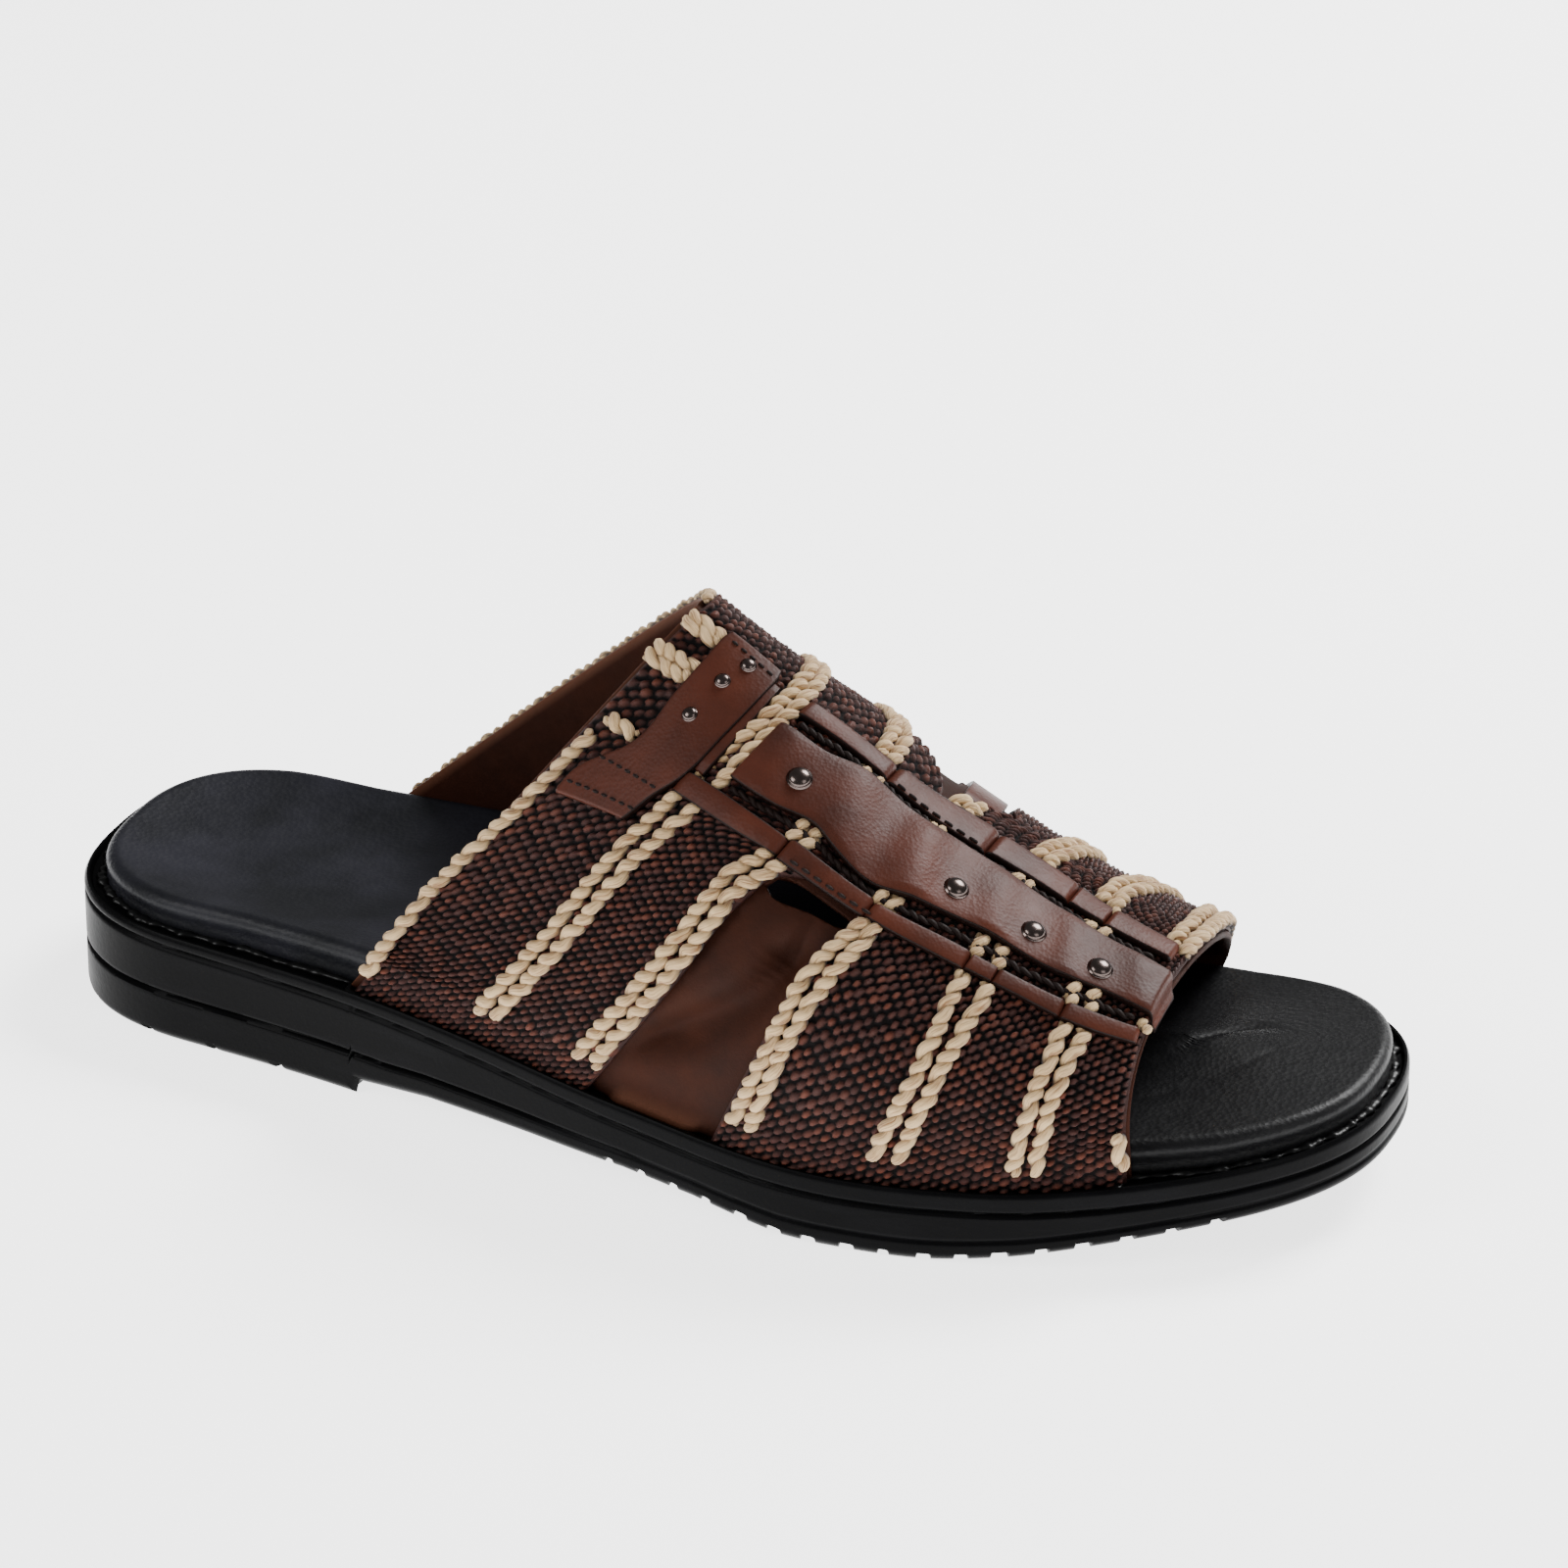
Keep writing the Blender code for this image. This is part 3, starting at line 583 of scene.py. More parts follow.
@dataclass(frozen=True)
class StrapLeatherFinish:
    """Semi-gloss brown leather with a fine grain, faint stretch marks and dark cut edges."""

    name: str = "strap_leather_brown"
    light: tuple[float, ...] = colour(84, 41, 28)
    deep: tuple[float, ...] = colour(54, 26, 18)
    edge: tuple[float, ...] = colour(24, 12, 9)
    roughness: float = 0.36
    grain: float = 1300.0
    shine: float = 0.15

    def build(self) -> bpy.types.Material:
        """Builds the material.

        Returns:
            The material.
        """
        shade = Shade(self.name, self.roughness)
        shade.set("Specular IOR Level", self.shine)
        where = shade.place()
        cloud = shade.band(shade.noise(where, 48.0, 3.0), 0.3, 0.7)
        base = shade.blend(cloud, self.deep, self.light)
        shade.set("Base Color", shade.blend(shade.mark("edge"), base, self.edge))
        pores = shade.cells(where, self.grain)
        stretch = shade.noise(shade.place((1.0, 0.35, 1.0)), 520.0, 3.0, 0.6)
        shade.set("Roughness", shade.range(shade.noise(where, 210.0, 3.0), 0.38, 0.54))
        lower = shade.bump(stretch, 0.00007)
        shade.set("Normal", shade.bump(pores, 0.00005, lower))
        return shade.material


@dataclass(frozen=True)
class LiningFinish:
    """Matt brown lining leather with a nap, and a paler raw edge."""

    name: str = "lining_leather_brown"
    light: tuple[float, ...] = colour(56, 26, 14)
    deep: tuple[float, ...] = colour(38, 17, 9)
    raw: tuple[float, ...] = colour(84, 50, 34)
    roughness: float = 0.62
    shine: float = 0.12

    def build(self) -> bpy.types.Material:
        """Builds the material.

        Returns:
            The material.
        """
        shade = Shade(self.name, self.roughness)
        shade.set("Specular IOR Level", self.shine)
        where = shade.place()
        cloud = shade.noise(where, 60.0, 4.0, 0.6)
        base = shade.blend(shade.band(cloud, 0.3, 0.7), self.deep, self.light)
        shade.set("Base Color", shade.blend(shade.mark("edge"), base, self.raw))
        nap = shade.noise(where, 1700.0, 3.0, 0.7)
        shade.set("Roughness", shade.range(cloud, 0.62, 0.82))
        shade.set("Normal", shade.bump(nap, 0.00008, shade.bump(shade.noise(where, 300.0), 0.00008)))
        return shade.material


@dataclass(frozen=True)
class WeaveFinish:
    """Dark brown shiny yarn with warm nubs among them, and near black painted shade between the nubs."""

    name: str = "webbing_brown"
    # Near black painted shade for the gaps between the nubs
    dark: tuple[float, ...] = colour(7, 3, 3)
    yarn: tuple[float, ...] = colour(60, 25, 18)
    warm: tuple[float, ...] = colour(98, 47, 30)
    shine: float = 0.26

    def build(self) -> bpy.types.Material:
        """Builds the material.

        Returns:
            The material.
        """
        shade = Shade(self.name, 0.4)
        shade.set("Specular IOR Level", self.shine)
        yarn = shade.blend(shade.mark("tone"), self.yarn, self.warm)
        # Painted shade: the lower the yarn lies between the nubs, the nearer it comes to near black
        rise = shade.band(shade.mark("rise"), 0.10, 0.92)
        shade.set("Base Color", shade.blend(rise, self.dark, yarn))
        threads = shade.add("ShaderNodeMapping", Vector=shade.mark("thread", "Vector"), Scale=(2.0, 9.0, 1.0))
        fibre = shade.noise(threads.outputs["Vector"], 1.6, 3.0, 0.6)
        gloss = shade.range(rise, 0.9, 0.34)
        shade.set("Roughness", shade.math("ADD", gloss, shade.range(fibre, -0.1, 0.12)))
        shade.set("Normal", shade.bump(fibre, 0.00025))
        return shade.material


@dataclass(frozen=True)
class CordFinish:
    """Cream twisted cord, fibres along each ply, tan patches; painted shade darkens hollows and undersides.
    """

    name: str = "braid_cream"
    light: tuple[float, ...] = colour(222, 188, 138)
    deep: tuple[float, ...] = colour(150, 106, 64)
    # Painted shade for the hollows and the plies' lower sides
    hollow_shade: tuple[float, ...] = colour(44, 24, 15)

    def build(self) -> bpy.types.Material:
        """Builds the material.

        Returns:
            The material.
        """
        shade = Shade(self.name, 0.66)
        fibre = shade.noise(shade.mark("thread", "Vector"), 2.4, 4.0, 0.6)
        blotch = shade.noise(shade.mark("thread", "Vector"), 0.7, 2.0)
        tone = shade.math("ADD", shade.math("MULTIPLY", fibre, 0.6), shade.math("MULTIPLY", blotch, 0.5))
        body = shade.blend(shade.band(tone, 0.42, 0.58), self.deep, self.light)
        # Painted light and shade: the cord goes from this dark brown to cream as rise grows
        rise = shade.band(shade.mark("rise"), 0.20, 0.88)
        shade.set("Base Color", shade.blend(rise, self.hollow_shade, body))
        shade.set("Normal", shade.bump(fibre, 0.0005))
        shade.set("Sheen Weight", 0.2)
        return shade.material


@dataclass(frozen=True)
class RubberFinish:
    """Satin black rubber, a little rubbed."""

    name: str = "rubber_black"
    base: tuple[float, ...] = colour(6, 6, 7)
    rubbed: tuple[float, ...] = colour(14, 14, 16)
    shine: float = 0.04

    def build(self) -> bpy.types.Material:
        """Builds the material.

        Returns:
            The material.
        """
        shade = Shade(self.name, 0.4)
        shade.set("Specular IOR Level", self.shine)
        where = shade.place()
        smear = shade.noise(shade.place((30.0, 30.0, 220.0)), 1.0, 4.0, 0.6)
        shade.set("Base Color", shade.blend(shade.band(smear, 0.5, 0.85), self.base, self.rubbed))
        shade.set("Roughness", shade.range(smear, 0.28, 0.46))
        shade.set("Normal", shade.bump(shade.noise(where, 900.0, 3.0), 0.00005))
        return shade.material


@dataclass(frozen=True)
class FootbedFinish:
    """Charcoal leather with a fine crosswise grain and paler patches; painted shade darkens it toward the
    toe.
    """

    name: str = "footbed_leather"
    # Painted shade colour for the toe end, under the upper
    toe: tuple[float, ...] = colour(8, 8, 10)
    base: tuple[float, ...] = colour(16, 17, 21)
    pale_patch: tuple[float, ...] = colour(34, 34, 41)
    heel_end: float = -0.07
    toe_end: float = 0.09
    shine: float = 0.2

    def build(self) -> bpy.types.Material:
        """Builds the material.

        Returns:
            The material.
        """
        shade = Shade(self.name, 0.45)
        shade.set("Specular IOR Level", self.shine)
        where = shade.place()
        cloud = shade.noise(where, 45.0, 4.0)
        along = shade.add("ShaderNodeSeparateXYZ", Vector=where).outputs["X"]
        # Painted shade: the colour darkens to the toe colour toward the toe, where the upper shades the
        # footbed
        heel = shade.band(along, self.toe_end, self.heel_end)
        leather = shade.blend(shade.band(cloud, 0.35, 0.7), self.base, self.pale_patch)
        shade.set("Base Color", shade.blend(heel, self.toe, leather))
        shade.set("Roughness", shade.range(shade.noise(where, 300.0), 0.36, 0.56))
        drawn = shade.noise(shade.place((0.3, 1.0, 1.0)), 900.0, 3.0, 0.65)
        pores = shade.cells(where, 900.0)
        shade.set("Normal", shade.bump(shade.math("ADD", pores, drawn), 0.00007))
        return shade.material


@dataclass(frozen=True)
class PlainFinish:
    """A simple finish with a little uneven gloss."""

    name: str
    base: tuple[float, ...]
    roughness: float
    metallic: float = 0.0
    coat: float = 0.0
    shine: float = 0.5

    def build(self) -> bpy.types.Material:
        """Builds the material.

        Returns:
            The material.
        """
        shade = Shade(self.name, self.roughness, self.metallic)
        where = shade.place()
        cloud = shade.noise(where, 400.0, 3.0)
        darker = (*[part * 0.6 for part in self.base[:3]], 1.0)
        shade.set("Base Color", shade.blend(cloud, darker, self.base))
        shade.set("Roughness", shade.range(cloud, self.roughness * 0.8, self.roughness * 1.2))
        shade.set("Coat Weight", self.coat)
        shade.set("Specular IOR Level", self.shine)
        shade.set("Normal", shade.bump(shade.noise(where, 1200.0), 0.00003))
        return shade.material


@dataclass
class Palette:
    """All the finishes, built once."""

    strap: bpy.types.Material = field(default_factory=lambda: StrapLeatherFinish().build())
    lining: bpy.types.Material = field(default_factory=lambda: LiningFinish().build())
    weave: bpy.types.Material = field(default_factory=lambda: WeaveFinish().build())
    cord: bpy.types.Material = field(default_factory=lambda: CordFinish().build())
    rubber: bpy.types.Material = field(default_factory=lambda: RubberFinish().build())
    footbed: bpy.types.Material = field(default_factory=lambda: FootbedFinish().build())
    metal: bpy.types.Material = field(
        default_factory=lambda: PlainFinish("gunmetal", colour(104, 92, 88), 0.22, 1.0).build()
    )
    thread: bpy.types.Material = field(
        default_factory=lambda: PlainFinish("thread_brown", colour(26, 13, 9), 0.6, shine=0.15).build()
    )
    glue: bpy.types.Material = field(
        default_factory=lambda: PlainFinish("glue_black", colour(8, 8, 9), 0.36, 0.0, 0.04, 0.2).build()
    )


@dataclass
class Section:
    """The outline of a strip's cross-section: shares of its width, lifts and weights of relief."""

    columns: int
    edge_share: float
    underside: int = 3
    rounding: int = 4
    upright: float = 0.7
    fade: float = 3.0

    def arrays(self) -> tuple[Array, Array, Array]:
        """Goes once round the outline.

        Returns:
            Shares across, lifts from 0 (underside) to 1 (outer face), and weights from 0 (edge) to 1.
        """
        turn = np.linspace(0.0, math.pi / 2.0, self.rounding + 1)[:-1]
        rise = np.array([0.0, self.upright / 2.0])
        outer = np.linspace(self.edge_share, 1.0 - self.edge_share, self.columns + 1)
        under = np.linspace(1.0, 0.0, self.underside + 1)[1:]
        edge_in = self.edge_share * (1.0 - np.cos(turn))
        edge_lift = self.upright + (1.0 - self.upright) * np.sin(turn)
        share = np.concatenate([np.zeros(2), edge_in, outer, 1.0 - edge_in[::-1], np.ones(2), under])
        level = np.ones(len(outer))
        flat = np.zeros(len(under))
        lift = np.concatenate([rise, edge_lift, level, edge_lift[::-1], rise[::-1], flat])
        inner = np.minimum(outer - self.edge_share, 1.0 - self.edge_share - outer)
        blank = np.zeros(2 + len(edge_in))
        weight = np.clip(inner / (self.fade * self.edge_share), 0.0, 1.0)
        return share, lift, np.concatenate([blank, weight, blank, flat])


@dataclass
class WovenBand:
    """A band of coarse basket weave.

    rear and front give the band's edges as s for each t. The shakes are the most that a nub differs from its
    neighbours: across and along in nubs, in lean, size and height as shares.
    """

    name: str
    rear: Callable[[Array], Array]
    front: Callable[[Array], Array]
    middle: float
    threads: int
    rows: int
    columns: int
    row_pitch: float = 0.0023
    relief: float = 0.00125
    half_long: float = 0.53
    half_wide: float = 0.39
    lean: float = 0.32
    shake_across: float = 0.2
    shake_along: float = 0.16
    shake_lean: float = 1.2
    shake_size: float = 0.3
    shake_tall: float = 0.22
    smallest: float = 0.86
    edge_share: float = 0.012
    sunk: float = 0.15

    def nubs(self, a: Array, b: Array) -> tuple[Array, Array]:
        """The yarn's nubs, which stand in staggered columns.

        Args:
            a: Place across the band, in columns of nubs.
            b: Place along the band, in nubs.

        Returns:
            Height from 0 to 1 and a tone from 0 to 1.
        """
        best = np.zeros(a.shape)
        tone = np.zeros(a.shape)
        for across in (-1.0, 0.0, 1.0):
            i = np.floor(a) + across
            staggered = b + 0.5 * (i % 2.0)
            for down in (-1.0, 0.0, 1.0):
                j = np.floor(staggered) + down
                off_a = a - i - 0.5 - self.shake_across * (scatter(i, j, 1.0) - 0.5)
                off_b = staggered - j - 0.5 - self.shake_along * (scatter(i, j, 2.0) - 0.5)
                angle = self.lean * (1.0 + self.shake_lean * (scatter(i, j, 6.0) - 0.5))
                size = self.smallest + self.shake_size * scatter(i, j, 3.0)
                along = (off_a * np.cos(angle) + off_b * np.sin(angle)) / (self.half_long * size)
                aside = (off_b * np.cos(angle) - off_a * np.sin(angle)) / (self.half_wide * size)
                tall = 1.0 - self.shake_tall + self.shake_tall * scatter(i, j, 4.0)
                height = np.sqrt(np.clip(1.0 - along**2 - aside**2, 0.0, 1.0)) * tall
                higher = height > best
                best = np.where(higher, height, best)
                tone = np.where(higher, scatter(i, j, 5.0) ** 2.0, tone)
        return best, tone

    def row_lines(self) -> tuple[Array, Array]:
        """Measures the band's middle line over the whole foot.

        Returns:
            t at fine steps, and the length so far.
        """
        t = np.linspace(-1.0, 1.0, 801)
        line = FORM.skeleton(np.full(t.shape, self.middle), t)
        steps = np.linalg.norm(np.diff(line, axis=0), axis=1)
        return t, np.concatenate([[0.0], np.cumsum(steps)])

    def build(self, material: bpy.types.Material) -> bpy.types.Object:
        """Makes the band and puts it in place of its solid.

        Args:
            material: The finish of the yarn.

        Returns:
            The band's object.
        """
        lines, lengths = self.row_lines()
        share_of, lift_of, _ = Section(self.columns, self.edge_share).arrays()
        around = len(share_of) - 1
        inner = FORM.lining + FORM.fit

        def place(u: Array, v: Array) -> tuple[Array, dict[str, Array]]:
            """Moves the grid round the band's cross-section.

            Args:
                u: Share along.
                v: Share around.

            Returns:
                The points and their attributes.
            """
            length = u * lengths[-1]
            t = np.interp(length, lengths, lines)
            index = np.rint(v * around).astype(int)
            share = share_of[index]
            s = self.rear(t) + (self.front(t) - self.rear(t)) * share
            a = share * self.threads
            b = length / self.row_pitch
            rise, tone = self.nubs(a, b)
            outer = lift_of[index] > 0.99
            level = inner + (FORM.webbing - 0.5 * self.relief) * lift_of[index]
            level = level + np.where(outer, self.relief * (rise - self.sunk), 0.0)
            marks = {
                "tone": tone,
                # rise is the nub's height, which the finish also uses for the painted shade between the nubs
                "rise": np.where(outer, rise, 0.5),
                "thread": np.stack([a, b, rise], axis=-1),
            }
            return FORM.point(s, t, level), marks

        data = shaped_grid(f"{self.name}_weave", self.rows, around, place)
        return add_piece(data, material, [self.name])


@dataclass
class TwistedCord:
    """A cord of two plies that lies on the upper.

    route holds t and s at a few places. A route along the foot has along set, and holds s and t.
    pressed gives 1 where a strap lies on the cord and flattens it. The waves are in radians to the metre, and
    rise is painted light and shade on the fibre: a base, what the ply's turn adds on top, and what its
    roundness adds.
    """

    route: Table
    height: float = 0.0033
    ply: float = 0.00096
    twist: float = 0.00086
    pitch: float = 0.0072
    step: float = 0.00055
    sides: int = 9
    along: bool = False
    phase: float = 0.0
    pressed: Callable[[Array, Array], Array] | None = None
    pressed_drop: float = 0.0009
    pressed_share: float = 0.6
    # A lift of the painted shade that makes the whole cord paler
    shade_lift: float = 0.0
    flatness: float = 0.8
    sway: float = 0.0003
    sway_waves: float = 600.0
    drift: float = 0.8
    drift_waves: float = 330.0
    plump_top: float = 0.26
    plump_uneven: float = 0.14
    plump_waves: float = 800.0
    end_reach: float = 1.4
    # Painted light and shade: its base, and what the ply on top and its upper side add
    shade_base: float = 0.42
    shade_turn: float = 0.6
    shade_round: float = 0.45
    fibre_round: float = 2.2
    fibre_long: float = 170.0
    fibre_apart: float = 9.0

    def path(self) -> tuple[Array, Array, Array, Array]:
        """Evenly spaced points on the route.

        Returns:
            The points, the surface's normals, the length so far and the share of the full thickness.
        """
        fine = np.linspace(self.route[0][0], self.route[-1][0], 500)
        other = smooth_curve(self.route, 1, fine)
        s, t = (fine, other) if self.along else (other, fine)
        line = FORM.point(s, t, self.height)
        lengths = np.concatenate([[0.0], np.cumsum(np.linalg.norm(np.diff(line, axis=0), axis=1))])
        even = np.linspace(0.0, lengths[-1], max(8, int(lengths[-1] / self.step)))
        s = np.interp(even, lengths, s)
        t = np.interp(even, lengths, t)
        flat = self.pressed(s, t) if self.pressed else np.zeros(s.shape)
        points = FORM.point(s, t, self.height - self.pressed_drop * flat)
        return points, FORM.normal(s, t), even, 1.0 - (1.0 - self.pressed_share) * flat

    def plies(self) -> list[bpy.types.Mesh]:
        """Twists the cord.

        Returns:
            One mesh for each of the two plies.
        """
        points, normals, lengths, share = self.path()
        ahead = unit(np.gradient(points, axis=0))
        aside = unit(np.cross(normals, ahead))
        sway = self.sway * wander(lengths * self.sway_waves, self.phase)
        base = points + aside * sway[:, None]
        turn = 2.0 * math.pi * lengths / self.pitch + self.phase
        turn = turn + self.drift * wander(lengths * self.drift_waves, self.phase + 2.0)
        made = []
        for number in range(2):
            angle = turn + math.pi * number
            reach = aside * np.cos(angle)[:, None] + normals * (self.flatness * np.sin(angle))[:, None]
            centre = base + reach * (self.twist * share)[:, None]
            made.append(self.ply_mesh(centre, normals, np.sin(angle), lengths, share, number))
        return made

    def ply_mesh(
        self, centre: Array, normals: Array, high: Array, lengths: Array, share: Array, number: int
    ) -> bpy.types.Mesh:
        """A closed tube round one ply's line.

        Args:
            centre: The ply's line.
            normals: The upper's normals.
            high: 1 where the ply is on top, -1 where it is below.
            lengths: Length along the cord.
            share: Share of the full thickness.
            number: 0 or 1.

        Returns:
            The tube.
        """
        heading = unit(np.gradient(centre, axis=0))
        across = unit(np.cross(heading, normals))
        upright = np.cross(across, heading)
        uneven = wander(lengths * self.plump_waves, self.phase + number)
        plump = 1.0 + self.plump_top * high + self.plump_uneven * uneven
        ends = np.minimum(lengths, lengths[-1] - lengths) / (self.end_reach * self.ply)
        radius = self.ply * share * plump * np.sqrt(1.0 - (1.0 - np.clip(ends, 0.04, 1.0)) ** 2)
        last = len(centre) - 1

        def place(u: Array, v: Array) -> tuple[Array, dict[str, Array]]:
            """Moves the grid round the ply.

            Args:
                u: Share along.
                v: Share around.

            Returns:
                The points and their attributes.
            """
            index = np.rint(u * last).astype(int)
            angle = v * 2.0 * math.pi
            reach = across[index] * np.cos(angle)[:, None] + upright[index] * np.sin(angle)[:, None]
            points = centre[index] + reach * radius[index][:, None]
            along = lengths[index] * self.fibre_long + number * self.fibre_apart
            round_x = np.cos(angle) * self.fibre_round
            round_y = np.sin(angle) * self.fibre_round
            fibre = np.stack([round_x, round_y, along], axis=-1)
            # Painted light and shade: lighter where the ply lies on top and on its upper side, darker below
            rise = self.shade_lift + self.shade_base + self.shade_turn * high[index]
            rise = rise + self.shade_round * np.sin(angle)
            return points, {"rise": np.clip(rise, 0.0, 1.0), "thread": fibre}

        return shaped_grid("ply", last, self.sides, place)


@dataclass
class LeatherStrip:
    """A strip of leather on the upper between two wavy edges.

    edges holds the place along the strip and its two edges. A strip that runs over the foot has over set:
    its rows are t, rear s and front s. Otherwise they are s, lateral t and medial t.
    """

    name: str
    edges: Table
    level: float
    thickness: float
    columns: int
    rows: int
    over: bool = False
    span: tuple[float, float] = (0.0, 1.0)
    edge_share: float = 0.018
    end_share: float = 0.01
    end_dive: float = 0.0
    dive_share: float = 0.12
    widen: float = 1.0
    crown: float = 0.0
    relief: Callable[[Array, Array], Array] | None = None
    drop: Callable[[Array, Array], Array] | None = None
    tip_narrow: float = 0.02
    dive_narrow: float = 0.1
    tip_thin: float = 0.3
    least_relief: float = 0.55
    dark_reach: float = 1.5
    dark_share: float = 0.25

    def mesh(self) -> bpy.types.Mesh:
        """Shapes the strip.

        Returns:
            The closed strip, with its dark cut edges marked.
        """
        share_of, lift_of, weight_of = Section(self.columns, self.edge_share).arrays()
        around = len(share_of) - 1
        first = self.edges[0][0]
        last = self.edges[-1][0]
        start = first + (last - first) * self.span[0]
        end = first + (last - first) * self.span[1]

        def place(u: Array, v: Array) -> tuple[Array, dict[str, Array]]:
            """Moves the grid round the strip's cross-section.

            Args:
                u: Share along.
                v: Share around.

            Returns:
                The points and their attributes.
            """
            index = np.rint(v * around).astype(int)
            share = share_of[index]
            run = start + (end - start) * u
            low = smooth_curve(self.edges, 1, run)
            high = smooth_curve(self.edges, 2, run)
            reach = np.minimum(u, 1.0 - u)
            tip = np.clip(reach / self.end_share, 0.0, 1.0)
            dive = (1.0 - np.clip(reach / self.dive_share, 0.0, 1.0)) ** 2
            wide = (high - low) * self.widen * (1.0 - self.tip_narrow * (1.0 - tip))
            wide = wide * (1.0 - self.dive_narrow * dive)
            other = (low + high) / 2.0 + wide * (share - 0.5)
            s, t = (other, run) if self.over else (run, other)
            weight = weight_of[index]
            full = 1.0 - self.tip_thin + self.tip_thin * np.sqrt(tip * (2.0 - tip))
            height = self.level + self.thickness * lift_of[index] * full
            height = height + self.crown * 4.0 * share * (1.0 - share) * (1.0 - dive) - self.end_dive * dive
            if self.relief is not None:
                height = height + self.relief(s, t) * np.maximum(weight, self.least_relief)
            if self.drop is not None:
                height = height - self.drop(s, t)
            edge = np.clip(1.0 - weight * self.dark_reach, 0.0, 1.0)
            edge = edge * np.where(lift_of[index] > 0.99, self.dark_share, 1.0)
            return FORM.point(s, t, height), {"edge": edge}

        return shaped_grid(self.name, self.rows, around, place)


@dataclass
class Stitches:
    """A row of short stitches on the upper.

    route holds s and t at a few places along the row.
    """

    route: Table
    level: float
    pitch: float = 0.0024
    length: float = 0.0018
    width: float = 0.0008

    def build(self) -> bpy.types.Mesh:
        """Sews the row.

        Returns:
            The stitches as one mesh of pills.
        """
        run = np.linspace(0.0, 1.0, len(self.route))
        fine = np.linspace(0.0, 1.0, 300)
        table = np.column_stack([run, np.asarray(self.route, dtype=float)])
        s = smooth_curve(table, 1, fine)
        t = smooth_curve(table, 2, fine)
        line = FORM.point(s, t, self.level)
        lengths = np.concatenate([[0.0], np.cumsum(np.linalg.norm(np.diff(line, axis=0), axis=1))])
        middles = np.arange(self.pitch / 2.0, lengths[-1], self.pitch)
        centre = np.stack([np.interp(middles, lengths, line[:, axis]) for axis in range(3)], axis=-1)
        normals = FORM.normal(np.interp(middles, lengths, s), np.interp(middles, lengths, t))
        heading = unit(np.gradient(centre, axis=0)) if len(centre) > 1 else unit(line[-1:] - line[:1])
        across = unit(np.cross(normals, heading))
        mesh = bmesh.new()
        size = Matrix.Diagonal((self.length / 2.0, self.width / 2.0, self.width / 2.0, 1.0))
        for place, along, aside, upward in zip(centre, heading, across, normals):
            turn = Matrix((Vector(along), Vector(aside), Vector(upward))).transposed().to_4x4()
            matrix = Matrix.Translation(Vector(place)) @ turn @ size
            bmesh.ops.create_uvsphere(mesh, u_segments=6, v_segments=5, radius=1.0, matrix=matrix)
        data = bpy.data.meshes.new("stitches")
        mesh.to_mesh(data)
        mesh.free()
        return data


